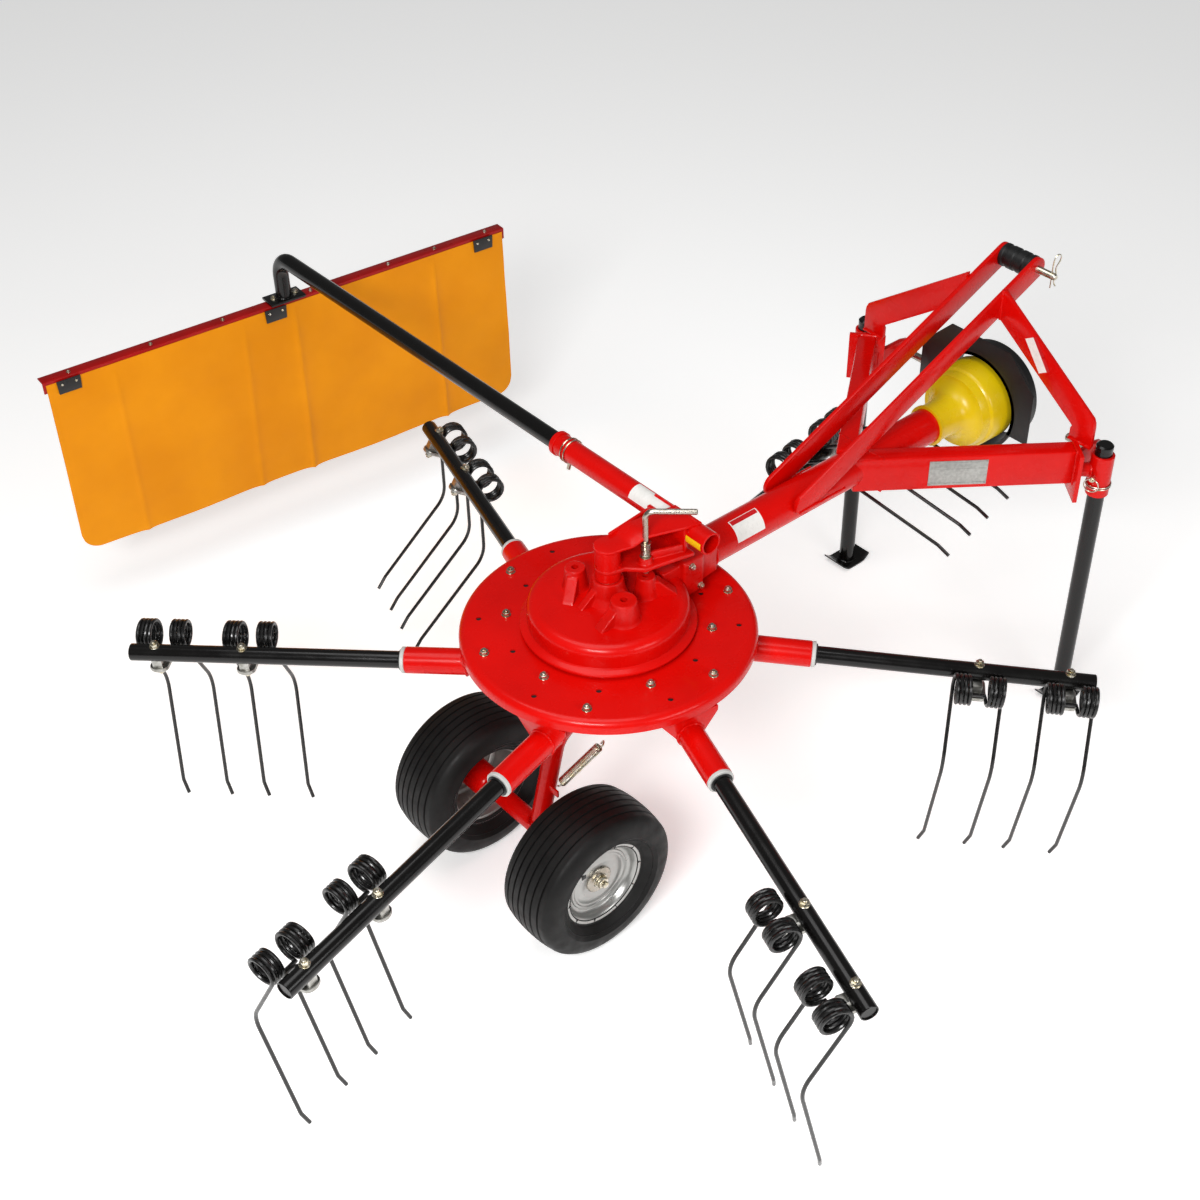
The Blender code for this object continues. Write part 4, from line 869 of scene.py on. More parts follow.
def rimDisc():
    # a pressed disc with rolled flanges and concentric steps, set close to the outer side
    rim, half, face = wheel["rim"], wheel["rimWidth"] / 2, wheel["discFace"]
    profile = [(rim - 0.002, half), (rim, half - 0.002), (rim, half - 0.004), (rim - 0.011, half - 0.005)]
    profile += [(rim - 0.012, 0.012), (rim - 0.02, 0), (rim - 0.02, -0.004), (rim - 0.012, -0.012)]
    profile += [(rim - 0.011, 0.005 - half), (rim, 0.004 - half), (rim, 0.002 - half), (rim - 0.002, -half)]
    profile += [(rim - 0.004, 0.003 - half), (rim - 0.015, 0.008 - half), (rim - 0.018, -0.02),
                (rim - 0.024, 0)]
    profile += [(rim - 0.0255, face - 0.006), (0.082, face - 0.0045), (0.078, face - 0.001),
                (0.074, face - 0.0045)]
    profile += [(0.06, face - 0.003), (0.02, face - 0.003), (0.02, face), (0.036, face), (0.042, face)]
    profile += [(0.05, face + 0.0032), (0.064, face + 0.0036), (0.0695, face + 0.0005), (0.0725, face)]
    profile += [(0.0755, face + 0.0004), (0.078, face + 0.0034), (0.083, face + 0.0034), (0.0855, face),
                (0.089, face)]
    profile += [(rim - 0.021, face + 0.002), (rim - 0.0175, face + 0.009), (rim - 0.0155, half - 0.006)]
    profile += [(rim - 0.009, half - 0.0025), (rim - 0.004, half)]
    return lathe(profile + [(rim - 0.002, half)], 120, "Y")


def hub():
    # the large plain washer that the axle nut pulls down on
    face = wheel["discFace"]
    profile = [(0, face + 0.008), (0.017, face + 0.0075), (0.02, face + 0.0052), (0.034, face + 0.0046)]
    return lathe(profile + [(0.036, face + 0.003), (0.036, face - 0.001), (0, face - 0.001)], 64, "Y")


def innerHub():
    end, face = -wheel["rimWidth"] / 2 - 0.0035, wheel["discFace"] - 0.0035
    profile = [(0.0126, face), (0.05, face), (0.05, face - 0.008), (0.04, face - 0.012), (0.04, end + 0.012)]
    profile += [(0.037, end + 0.003), (0.034, end), (0.0126, end), (0.0126, face)]
    return lathe(profile, 48, "Y")


def hubNut():
    return boltsAt([((0, wheel["discFace"] + 0.007, 0), (0, 1, 0))], 1.6)


def valveHole():
    # the square hole in the disc that the valve is reached through, drawn as a thin black patch on the disc: painted
    # shade for its dark opening
    return block((0.013, 0.0012, 0.013), (0.046, wheel["discFace"] + 0.0034, 0.04), 0, 0.0004)


def rimSlots():
    # short radial nicks round the rolled edge, drawn as small black blocks: painted shade for the dark inside of
    # each nick
    slots = []
    for i in range(wheel["slots"]):
        slot = block((0.0085, 0.0036, 0.0018), (wheel["rim"] - 0.0065, wheel["rimWidth"] / 2 - 0.0012, 0), 0,
                     0.0003)
        slots.append(moved(slot, Matrix.Rotation(2 * math.pi * i / wheel["slots"], 4, "Y")))
    return merged(*slots)


def makeWheel(side):
    joint = joints[f"wheel_{side}_spin"]
    centre = Vector(joint["pos_m"])
    turn = Matrix.Identity(4) if side == "left" else Matrix.Rotation(math.pi, 4, "Z")
    at, body = Matrix.Translation(centre) @ turn, f"wheel_{side}"
    addPiece(tyre(), f"tyreCasing_{side}", tyreRubber, body, "tyre", [f"tyre_{side}"], at, 28)
    addPiece(rimDisc(), f"rimDisc_{side}", rimLacquer, body, "rim_paint", [f"rim_{side}"], at, 50)
    # the black rim nicks are painted shade
    addPiece(rimSlots(), f"rimSlots_{side}", blackPlastic, body, "black_plastic", (), at)
    addPiece(hub(), f"hubCap_{side}", brightSteel, body, "bright_steel", (), at)
    addPiece(hubNut(), f"hubNut_{side}", zincPlate, body, "bright_steel", (), at)
    addPiece(innerHub(), f"innerHub_{side}", redEnamel, body, "red_paint", (), at)
    # the black valve hole patch is painted shade
    addPiece(valveHole(), f"valveHole_{side}", blackPlastic, body, "black_plastic", (), at)


def wheelFrame():
    low, high = lowerCase["barrelLow"], lowerCase["barrelHigh"]
    back, middle = bogie["back"], (low + high) / 2
    pieces = [rod((0, 0, low), (0, 0, high), bogie["barrelRadius"], 0.002, 48, 0.0308)]
    start, one, two = Vector((-0.034, 0, middle)), Vector((-0.165, 0, middle - 0.02)), Vector((-back, 0,
                                                                                               wheel["radius"]))
    path = [start, *corner(start, one, two, 0.07, 10), two]
    pieces.append(bent(path, bogie["tube"], 32))
    aside = (joints["wheel_left_spin"]["pos_m"][1] + joints["wheel_right_spin"]["pos_m"][1]) / 2 - home.translation.y
    for reach, radius in ((bogie["beam"], bogie["beamRadius"]), (bogie["axle"], bogie["axleRadius"])):
        ends = [(-back, aside + side * reach, wheel["radius"]) for side in (-1, 1)]
        pieces.append(rod(*ends, radius, 0.0015, 40))
    gusset = flat([(0, 0), (0.07, 0), (0, 0.1)], 0.008, 0.001)
    upright = Matrix.Rotation(math.pi / 2, 4, "X")
    pieces.append(moved(gusset,
                        Matrix.Translation((-back + 0.012, 0,
                                            wheel["radius"] + 0.012)) @ upright @ Matrix.Scale(0.8, 4)))
    pieces.append(weldBead(circle((-back, 0, wheel["radius"] + 0.024), 0.0255, "Z", 0, 2 * math.pi, 30),
                           0.0035, 3))
    pieces.append(weldBead(circle((-0.042, 0, middle - 0.002), 0.0255, "X", 0, 2 * math.pi, 30), 0.0035, 4))
    foot = spring["foot"]
    pieces.append(block((0.006, 0.05, 0.02), (foot[0] - 0.006, foot[1] + 0.015, foot[2] - 0.017), 0, 0.002))
    return merged(*pieces)


def centringSpring():
    top, foot = Vector(spring["top"]), Vector(spring["foot"])
    way = (foot - top).normalized()
    body = helix(top + way * 0.022, foot - way * 0.018, spring["radius"], spring["turns"], 12)
    hooks = [top + way * 0.004, top + way * 0.022], [foot - way * 0.018, foot - way * 0.002]
    side = way.orthogonal().normalized() * 0.007
    pieces = [bent(body, spring["wire"], 6)]
    for one, two in hooks:
        pieces.append(bent([one + side, one.lerp(two, 0.5) + side, two], spring["wire"] * 1.3, 8))
        pieces.append(bent([one + side, one - side * 0.2 - way * 0.002, one - side,
                            one.lerp(two, 0.6) - side], spring["wire"] * 1.3, 8))
    return merged(*pieces)


def makeWheels():
    addPiece(wheelFrame(), "wheelFrame", redEnamel, "wheel_frame", "red_paint", ["wheel_bogie"])
    coil = addPiece(centringSpring(), "centringSpring", zincPlate, None, "bright_steel")
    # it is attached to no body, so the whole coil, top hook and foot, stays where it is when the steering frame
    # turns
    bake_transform(coil)
    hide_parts("bogie_spring")
    for side in ("left", "right"):
        makeWheel(side)


makeGearbox()
makeWheels()
print("gearbox and wheels made")


# Drawbar and headstock

drawbar = dict(height=0.79, radius=0.0475, start=0.3, end=1.12, wall=0.005)
beam = dict(root=(0.80, 0.012), tip=(1.25, 0.36), width=0.05, height=0.1, wall=0.005)
stand = dict(place=(1.303, 0.4125), radius=0.0225, length=0.85, sleeve=0.03, low=0.7, high=0.82, foot=0.11,
             footWidth=0.085)
mast = dict(forward=1.275, thick=0.012, width=0.07)
brace = dict(foot=(0.585, 0.815), top=(1.4, 1.165), depth=0.06, thick=0.012, offset=0.0478)
pto = dict(bellStart=1.095, flare=1.165, bellEnd=1.31, bellRadius=0.115, wall=0.004, collar=0.135,
           collarLength=0.1, shieldHalf=0.19, shieldX=1.2838, shaftRadius=0.0175, shaftEnd=1.2)
sides = (("left", 1), ("right", -1))


def drawbarTube():
    height = drawbar["height"]
    tube = rod((drawbar["start"], 0, height), (drawbar["end"], 0, height), drawbar["radius"], 0.0015, 64,
               drawbar["radius"] - drawbar["wall"])
    seam = weldBead(circle((drawbar["start"] + 0.002, 0, height), drawbar["radius"] + 0.001, "X", 0,
                           2 * math.pi, 48), 0.0035, 5)
    return merged(tube, seam)


def beamFrame(sign):
    # X along the beam from its root
    root, tip = Vector(beam["root"]), Vector(beam["tip"])
    angle = math.atan2(tip.y - root.y, tip.x - root.x)
    spin = Matrix.Rotation(sign * angle, 4, "Z")
    return Matrix.Translation((root.x, sign * root.y, drawbar["height"])) @ spin, (tip - root).length


def hitchBeam(sign):
    at, length = beamFrame(sign)
    body = moved(block((length, beam["width"], beam["height"]), (length / 2, 0, 0), 0, 0.006), at)
    half, high = beam["width"] / 2, beam["height"] / 2
    pieces = [body]
    for height in (high - 0.001, 0.001 - high):
        seam = [at @ Vector((x, side * half, height)) for x, side in ((0.075, sign), (0.03, -sign))]
        pieces.append(weldBead(seam, 0.003, sign + height))
    endSeam = [at @ Vector((length, y, z)) for y, z in
               ((half, high), (-half, high), (-half, -high), (half, -high), (half, high))]
    pieces.append(weldBead(endSeam, 0.0035, sign))
    return merged(*pieces)


def headstockEnd(sign):
    at, length = beamFrame(sign)
    bottom = 0.698 - drawbar["height"]
    plate = block((0.012, 0.1, 0.84 - 0.698), (length + 0.0063, 0, (bottom + 0.05) / 2), 0, 0.002)
    pieces = [moved(plate, at)]
    x, y = stand["place"][0], sign * stand["place"][1]
    middle = (stand["low"] + stand["high"]) / 2 + 0.01
    pieces.append(rod((x, y, stand["low"]), (x, y, stand["high"]), stand["sleeve"], 0.002, 48,
                      stand["radius"] + 0.0008))
    plateFace = at @ Vector((length + 0.008, 0, 0))
    stubStart = Vector((plateFace.x, plateFace.y, middle))
    way = (Vector((x, y, middle)) - stubStart).normalized()
    stubEnd = Vector((x, y, middle)) - way * stand["sleeve"] * 0.8
    pieces.append(rod(stubStart, stubEnd, 0.019, 0.001, 32))
    turnOf = along(stubStart, stubEnd)
    for reach, grow in ((0.006, 0.0205), ((stubEnd - stubStart).length - 0.003, 0.0205)):
        ring = [turnOf @ Vector((grow * math.cos(a), grow * math.sin(a), reach)) for a in
                [2 * math.pi * i / 28 for i in range(29)]]
        pieces.append(weldBead(ring, 0.0032, reach))
    lugY = sign * (beam["tip"][1] - 0.022)
    outline = [(1.27, -0.07), (1.37, -0.07), (1.395, -0.064), (1.408, -0.048), (1.41, -0.035),
               (1.408, -0.022),
               (1.395, -0.006), (1.37, 0), (1.27, 0)]
    lug = flat(outline, 0.014, 0.0015)
    upright = Matrix.Translation((0, lugY, drawbar["height"])) @ Matrix.Rotation(math.pi / 2, 4, "X")
    pieces.append(moved(lug, upright))
    return merged(*pieces)


def lowerLinkPin(sign):
    outer, end = 0.345, 0.245
    profile = [(0, outer + 0.01), (0.016, outer + 0.01), (0.018, outer + 0.008), (0.018, outer + 0.0004)]
    profile += [(0.011, outer + 0.0004), (0.011, end + 0.003), (0.008, end), (0, end)]
    pin = lathe(profile, 32, "Y")
    if sign < 0:
        pin.data.transform(Matrix.Rotation(math.pi, 4, "Z"))
    return shifted(pin, (1.38, 0, drawbar["height"] - 0.035))


def linchPin(centre, out, radius):
    # a short pin with its sprung ring folded over
    centre, out = Vector(centre), Vector(out).normalized()
    up = Vector((0, 0, 1))
    across = out.cross(up).normalized()
    pin = rod(centre - out * 0.02, centre + out * 0.024, 0.004, 0.001, 16)
    head = rod(centre + out * 0.01, centre + out * 0.02, 0.0075, 0.0012, 20)
    ring = [centre + out * 0.015 + radius * (across * math.cos(a) + up * (math.sin(a) - 1)) for a in
            [2 * math.pi * i / 32 for i in range(33)]]
    return merged(pin, head, bent(ring, 0.0016, 8))


def springClip(centre, way, size=1.0):
    # an R clip: a straight leg, a loop and a wavy leg, lying in the plane of way and Z
    up = Vector((0, 0, 1))
    centre, way = Vector(centre), Vector(way).normalized()
    shape = [(0, 0.03), (0, 0.02), (0, 0), (0, -0.034), (0.003, -0.045), (0.0095, -0.052), (0.017, -0.048),
             (0.0185, -0.039), (0.014, -0.03), (0.0085, -0.02), (0.008, -0.012), (0.0115, -0.002), (0.011,
                                                                                                    0.008),
             (0.0065, 0.014), (0.0085, 0.022), (0.013, 0.028)]
    points = [centre + size * (way * x - up * y) for x, y in shape]
    smooth = []
    for one, two, three in zip(points, points[1:], points[2:]):
        smooth += [one.lerp(two, 0.5), one * 0.125 + two * 0.75 + three * 0.125]
    return bent([points[0], *smooth, points[-1]], 0.0019, 8)


def braceSlope():
    (x0, z0), (x1, z1) = brace["foot"], brace["top"]
    return math.atan2(z1 - z0, x1 - x0)


def topBrace(sign):
    (x0, z0), (x1, z1) = brace["foot"], brace["top"]
    slope, half = braceSlope(), brace["depth"] / 2
    outline = []
    for (x, z), first in (((x1, z1), slope - math.pi / 2), ((x0, z0), slope + math.pi / 2)):
        for i in range(17):
            a = first + math.pi * i / 16
            outline.append((x + half * math.cos(a), z + half * math.sin(a)))
    y = sign * (brace["offset"] + brace["thick"] / 2)
    bar = moved(flat(outline, brace["thick"], 0.0015),
                Matrix.Translation((0, y, 0)) @ Matrix.Rotation(math.pi / 2, 4, "X"))
    low = [(x0 + t * 0.16 - 0.02, sign * (brace["offset"] + 0.012), drawbar["height"] + 0.008) for t in (0,
                                                                                                         0.5,
                                                                                                         1)]
    return merged(bar, weldBead(low, 0.0035, sign))


def mastStrut(sign):
    half = mast["width"] / 2
    foot, knee = 0.8403, 0.9
    outer, inner = beam["tip"][1] + 0.032, brace["offset"] + brace["thick"] + 0.0003
    (x0, z0), (x1, z1) = brace["foot"], brace["top"]
    top = z0 + (z1 - z0) * (mast["forward"] - x0) / (x1 - x0)
    run = Vector((inner - (outer - half), top - knee)).normalized()
    rise = -half / run.x
    outline = [(outer, foot), (outer, knee), (outer - 0.002, knee + 0.012), (outer - 0.008, knee + 0.024)]
    outline += [(inner, top + rise), (inner, top - rise), (outer - 2 * half + 0.004, knee - 0.022)]
    outline += [(outer - 2 * half, knee - 0.03), (outer - 2 * half, foot)]
    shape = flat([(sign * y, z) for y, z in outline], mast["thick"], 0.0015)
    upright = Matrix(((0, 0, 1, mast["forward"]), (1, 0, 0, 0), (0, 1, 0, 0), (0, 0, 0, 1)))
    strut = moved(shape, upright)
    x = mast["forward"]
    pieces = [strut]
    back = x - mast["thick"] / 2
    pieces.append(weldBead([(back, sign * inner, top - rise), (back, sign * inner, top + rise)], 0.004,
                           11 * sign))
    pieces.append(weldBead([(back, sign * (outer - 2 * half), foot), (back, sign * outer, foot)], 0.004,
                           12 * sign))
    return merged(*pieces)


def topPin():
    outer, end = brace["offset"] + brace["thick"] + 0.0009, -0.1201
    profile = [(0, outer + 0.01), (0.015, outer + 0.01), (0.017, outer + 0.008), (0.017, outer),
               (0.0095, outer)]
    profile += [(0.0095, end + 0.006), (0.0065, end), (0, end)]
    return shifted(lathe(profile, 40, "Y"), (brace["top"][0], 0, brace["top"][1]))


def topBush():
    half = brace["offset"] - 0.0006
    profile = [(0.0098, half), (0.03, half), (0.031, half - 0.001)]
    for centre in (0.032, 0.0, -0.032):
        profile += [(0.031, centre + 0.007), (0.0275, centre + 0.004), (0.0275, centre - 0.004),
                    (0.031, centre - 0.007)]
    profile += [(0.031, 0.001 - half), (0.03, -half), (0.0098, -half), (0.0098, half)]
    return shifted(lathe(profile, 48, "Y"), (brace["top"][0], 0, brace["top"][1]))


def bellGuard():
    # a lip on the drawbar, a round shoulder, a raised bead and a deep skirt
    wall, neck, radius = pto["wall"], drawbar["radius"] + 0.0003, pto["bellRadius"]
    start, flare, end = pto["bellStart"], pto["flare"], pto["bellEnd"]
    outer = [(start, neck + wall + 0.004), (start + 0.006, neck + wall + 0.004), (start + 0.01, neck + wall)]
    outer += [(flare - 0.012, neck + wall), (flare, neck + wall + 0.004)]
    for i in range(1, 10):
        a = math.pi / 2 * i / 9
        outer.append((flare + 0.038 * math.sin(a),
                      neck + wall + 0.004 + (radius - 0.019 - neck - wall) * (1 - math.cos(a))))
    outer += [(flare + 0.046, radius - 0.012), (flare + 0.062, radius - 0.009),
              (flare + 0.066, radius - 0.004)]
    outer += [(flare + 0.07, radius - 0.002), (end - 0.008, radius - 0.0005), (end - 0.005, radius),
              (end, radius)]
    inner = [(x, r - wall) for x, r in outer[3:]]
    ring = [(r, x) for x, r in outer] + [(r, x) for x, r in inner[::-1]] + [(neck, start)]
    return shifted(lathe(ring + [(outer[0][1], outer[0][0])], 96, "X"), (0, 0, drawbar["height"]))


def guardShield():
    half, x, height = pto["shieldHalf"], pto["shieldX"], drawbar["height"]
    low, high, slope = -0.05, 0.19, 0.09
    outline = [(-half, low), (half, low), (half, high - slope), (half - slope, high), (slope - half, high),
               (-half, high - slope)]
    shield = flat(outline, 0.005, 0.0015)
    upright = Matrix(((0, 0, 1, x), (1, 0, 0, 0), (0, 1, 0, height), (0, 0, 0, 1)))
    moved(shield, upright)
    radius, end = pto["collar"], pto["collarLength"]
    cutAway(shield, rod((x - 0.05, 0, height), (x + 0.05, 0, height), radius - 0.004, 0.0005, 96))
    profile = [(radius - 0.004, -0.0025), (radius + 0.006, -0.0025), (radius + 0.006, 0.002), (radius, 0.006)]
    profile += [(radius, end - 0.03), (radius + 0.003, end - 0.026), (radius + 0.003, end - 0.006),
                (radius, end - 0.002)]
    profile += [(radius - 0.002, end), (radius - 0.004, end - 0.002), (radius - 0.004, -0.0025)]
    collar = shifted(lathe(profile, 96, "X"), (x, 0, height))
    return merged(shield, collar)


def splinedShaft():
    # six splines on a 35 mm shaft, with the groove for a yoke's catch
    start, end, height = drawbar["end"] - 0.02, pto["shaftEnd"], drawbar["height"]
    root, crest, outline = 0.0148, pto["shaftRadius"], []
    for i in range(6):
        centre = math.pi / 3 * i
        for offset, radius in ((-0.3, root), (-0.235, crest), (0.235, crest), (0.3, root)):
            outline.append((radius * math.cos(centre + offset), radius * math.sin(centre + offset)))
    spline = flat(outline, end - start - 0.001, 0.0008)
    moved(spline, Matrix.Translation(((start + end) / 2, 0, height)) @ axisTurn("X"))
    groove = shifted(lathe([(0.0155, -0.004), (0.03, -0.004), (0.03, 0.004), (0.0155, 0.004),
                            (0.0155, -0.004)], 32, "X"),
                     (end - 0.022, 0, height))
    cutAway(spline, groove)
    plain = rod((1.02, 0, height), (start + 0.004, 0, height), crest, 0.001, 40)
    return merged(spline, plain)


def shaftBearing():
    height, end = drawbar["height"], drawbar["end"] - 0.03
    outer = drawbar["radius"] - drawbar["wall"] - 0.0003
    profile = [(0.0184, -0.02), (0.0184, 0), (0.026, 0), (0.0265, -0.0015), (0.035, -0.0015), (0.0355, 0)]
    profile += [(outer, 0), (outer, -0.02), (0.0184, -0.02)]
    return shifted(lathe(profile, 48, "X"), (end, 0, height))


def parkingStand():
    # stands on z = 0 at the middle of its foot
    length, radius = stand["length"], stand["radius"]
    tube = rod((0, 0, 0.012), (0, 0, length - 0.004), radius, 0.001, 48)
    cap = lathe([(0, length), (radius - 0.004, length), (radius + 0.0004, length - 0.004),
                 (radius + 0.0004, length - 0.014),
                 (radius, length - 0.015), (0, length - 0.015)], 48)
    half, quarter, lift, thick = stand["foot"] / 2, stand["foot"] / 4, 0.018, 0.006
    low = [(-half, lift), (-quarter - 0.008, 0.003), (-quarter + 0.004, 0), (quarter - 0.004, 0),
           (quarter + 0.008, 0.003), (half, lift)]
    outline = low + [(x, z + thick) for x, z in low[::-1]]
    foot = moved(flat(outline, stand["footWidth"], 0.001), Matrix.Rotation(math.pi / 2, 4, "X"))
    bead = weldBead(circle((0, 0, 0.0075), radius + 0.001, "Z", 0, 2 * math.pi, 36), 0.0032, 21)
    return merged(tube, cap, foot, bead)


def label(corners, lift, name, bandShare, body, at=home):
    # a blank white vinyl label with a red head band; corners go round from the head's left
    headLeft, headRight, footRight, footLeft = [Vector(c) for c in corners]
    out = (headRight - headLeft).cross(footLeft - headLeft).normalized() * lift
    split = [headLeft.lerp(footLeft, bandShare), headRight.lerp(footRight, bandShare)]

    def patch(one, two, three, four):
        bm = bmesh.new()
        face = [bm.verts.new(p + out) for p in (one, two, three, four)]
        back = [bm.verts.new(p + out * 0.2) for p in (one, two, three, four)]
        bm.faces.new(face)
        bm.faces.new(back)
        for i in range(4):
            bm.faces.new((face[i], face[(i + 1) % 4], back[(i + 1) % 4], back[i]))
        return fromBmesh(bm)

    addPiece(patch(headLeft, headRight, split[1], split[0]), name + "Band", redVinyl, body, "red_paint", (),
             at)
    addPiece(patch(split[0], split[1], footRight, footLeft), name + "Field", whiteVinyl, body, "blank_plate",
             (), at)


def wrappedLabel(name, material, slotName, axisPoint, axis, radius, reach, arc, body, at=home):
    # a thin patch that follows a tube: reach is (start, end) along it, arc is (start, end) in degrees
    bm = bmesh.new()
    rows, steps = [], 16
    thickness = 0.0004
    for r in (radius + thickness, radius + 0.00005):
        row = []
        for position in reach:
            line = []
            for i in range(steps + 1):
                a = math.radians(arc[0] + (arc[1] - arc[0]) * i / steps)
                point = Vector(axisPoint) + axisTurn(axis) @ Vector((r * math.cos(a), r * math.sin(a),
                                                                     position))
                line.append(bm.verts.new(point))
            row.append(line)
        rows.append(row)
    (top0, top1), (low0, low1) = rows
    for i in range(steps):
        bm.faces.new((top0[i], top0[i + 1], top1[i + 1], top1[i]))
        bm.faces.new((low0[i], low0[i + 1], low1[i + 1], low1[i]))
        bm.faces.new((top0[i], top0[i + 1], low0[i + 1], low0[i]))
        bm.faces.new((top1[i], top1[i + 1], low1[i + 1], low1[i]))
    for i in (0, steps):
        bm.faces.new((top0[i], top1[i], low1[i], low0[i]))
    addPiece(fromBmesh(bm), name, material, body, slotName, (), at)


def typePlate():
    # brushed plate with a raised blank border and four rivets
    at, _ = beamFrame(-1)
    face = at @ Matrix.Translation((0.268, -beam["width"] / 2 - 0.0009, 0))
    sheet = block((0.15, 0.0012, 0.074), (0, 0, 0), 0, 0.0003)
    frameBars = [block((0.14, 0.0006, 0.0016), (0, -0.0008, z), 0, 0.0002) for z in (-0.031, 0.012, 0.031)]
    rivets = [rod((x, 0, z), (x, -0.0022, z), 0.0022, 0.0007, 16) for x in (-0.071, 0.071) for z in (-0.033,
                                                                                                     0.033)]
    return moved(merged(sheet, *frameBars, *rivets), face)


def makeHeadstock():
    red = (redEnamel, "root", "red_paint")
    addPiece(drawbarTube(), "drawbarTube", *red, ["drawbar_tube"])
    for side, sign in sides:
        addPiece(hitchBeam(sign), f"hitchBeam_{side}", *red, [f"hitch_beam_{side}"])
        addPiece(headstockEnd(sign), f"headstockEnd_{side}", *red, [f"headstock_end_{side}"])
        addPiece(lowerLinkPin(sign), f"lowerLinkPin_{side}", brightSteel, "root", "bright_steel",
                 [f"lower_link_pin_{side}"])
        addPiece(mastStrut(sign), f"mastStrut_{side}", *red, [f"mast_strut_{side}"])
        addPiece(topBrace(sign), f"topBrace_{side}", *red, [f"top_brace_{side}"])
        x, y = stand["place"][0], sign * stand["place"][1]
        addPiece(parkingStand(), f"parkingStand_{side}", blackEnamel, f"stand_{side}", "black_paint",
                 [f"parking_stand_{side}"], Matrix.Translation(datum + Vector((x, y, 0))))
        clip = linchPin((x - 0.03, y - 0.003, 0.765), (-1, -0.35, 0), 0.019)
        rings = merged(*[bent(circle((x, y, z), stand["sleeve"] + 0.0018, "Z", 0, 2 * math.pi, 40), 0.0016, 8)
                         for z in (0.728, 0.7335)])
        addPiece(merged(clip, rings), f"standClip_{side}", zincPlate, "root", "bright_steel")
        addPiece(springClip((1.38, sign * 0.262, drawbar["height"] - 0.035), (1, 0, 0), 0.8),
                 f"lowerPinClip_{side}",
                 zincPlate, "root", "bright_steel")
    addPiece(topPin(), "topPin", zincPlate, "root", "bright_steel", ["top_link_pin"])
    addPiece(topBush(), "topBush", blackPlastic, "root", "black_plastic", ["top_link_bushing"])
    clipAt = (brace["top"][0], -0.106, brace["top"][1])
    addPiece(springClip(clipAt, (0.8, -0.3, 0), 1.15), "topPinClip", zincPlate, "root", "bright_steel")
    addPiece(bellGuard(), "bellGuard", yellowPlastic, "root", "yellow_plastic", ["pto_bell"])
    addPiece(guardShield(), "guardShield", blackPlastic, "root", "black_plastic", ["pto_guard"])
    addPiece(splinedShaft(), "splinedShaft", brightSteel, "pto", "bright_steel", ["pto_shaft"])
    addPiece(shaftBearing(), "shaftBearing", brightSteel, "root", "bright_steel", ["pto_bearing"])
    addPiece(typePlate(), "typePlate", brushedPlate, "root", "blank_plate", ["nameplate"])
    strutX = mast["forward"] - mast["thick"] / 2
    label([(strutX, -0.236, 0.994), (strutX, -0.18, 1.071), (strutX, -0.147, 1.051), (strutX, -0.204, 0.975)],
          0.0006, "strutLabel", 0.28, "root")
    centre = (0, 0, drawbar["height"])
    wrappedLabel("drawbarLabelField", whiteVinyl, "blank_plate", centre, "X", drawbar["radius"], (0.37, 0.46),
                 (190, 262), "root")
    wrappedLabel("drawbarLabelBand", redVinyl, "red_paint", centre, "X", drawbar["radius"] + 0.0004,
                 (0.373, 0.457), (192, 207), "root")


makeHeadstock()
print("headstock made")


# Curtain arm

pivot = dict(radius=0.03, bottom=0.862, top=0.953, plate=0.008, lower=0.889, forward=0.19, height=0.938,
             sleeve=0.0285, bore=0.0233, start=-0.14, end=0.405, rise=0.017)
lockPin = dict(radius=0.007, tip=0.864, top=1.044, bend=0.019, handle=0.115, handleAzimuth=-42)


def lockPinPlace():
    return polar(gearbox["bossRing"], gearbox["firstBoss"], 0)


def bentPlate():
    # the top plate steps up from the barrel onto the sleeve
    bm = bmesh.new()
    rows, thick = [], pivot["plate"]
    start = 0.0315
    for i in range(61):
        x = -start + (pivot["forward"] + 0.012 + start) * (i / 60) ** 1.3
        share = min(max((x - 0.035) / 0.045, 0), 1)
        z = pivot["top"] - thick + pivot["rise"] * share * share * (3 - 2 * share)
        wide = min(max(x / 0.19, 0), 1)
        low, high = -start - 0.0645 * wide ** 1.2, start - 0.036 * wide
        if x < 0:
            high = max(math.sqrt(max(start * start - x * x, 0)), 0.0015)
            low = -high
        rows.append([bm.verts.new((x, y, z + h)) for y,
                     h in ((low, 0), (high, 0), (high, thick), (low, thick))])
    for one, two in zip(rows, rows[1:]):
        for k in range(4):
            bm.faces.new((one[k], one[(k + 1) % 4], two[(k + 1) % 4], two[k]))
    bm.faces.new(rows[0])
    bm.faces.new(rows[-1])
    return rounded(fromBmesh(bm), 0.0012, 2, 50)


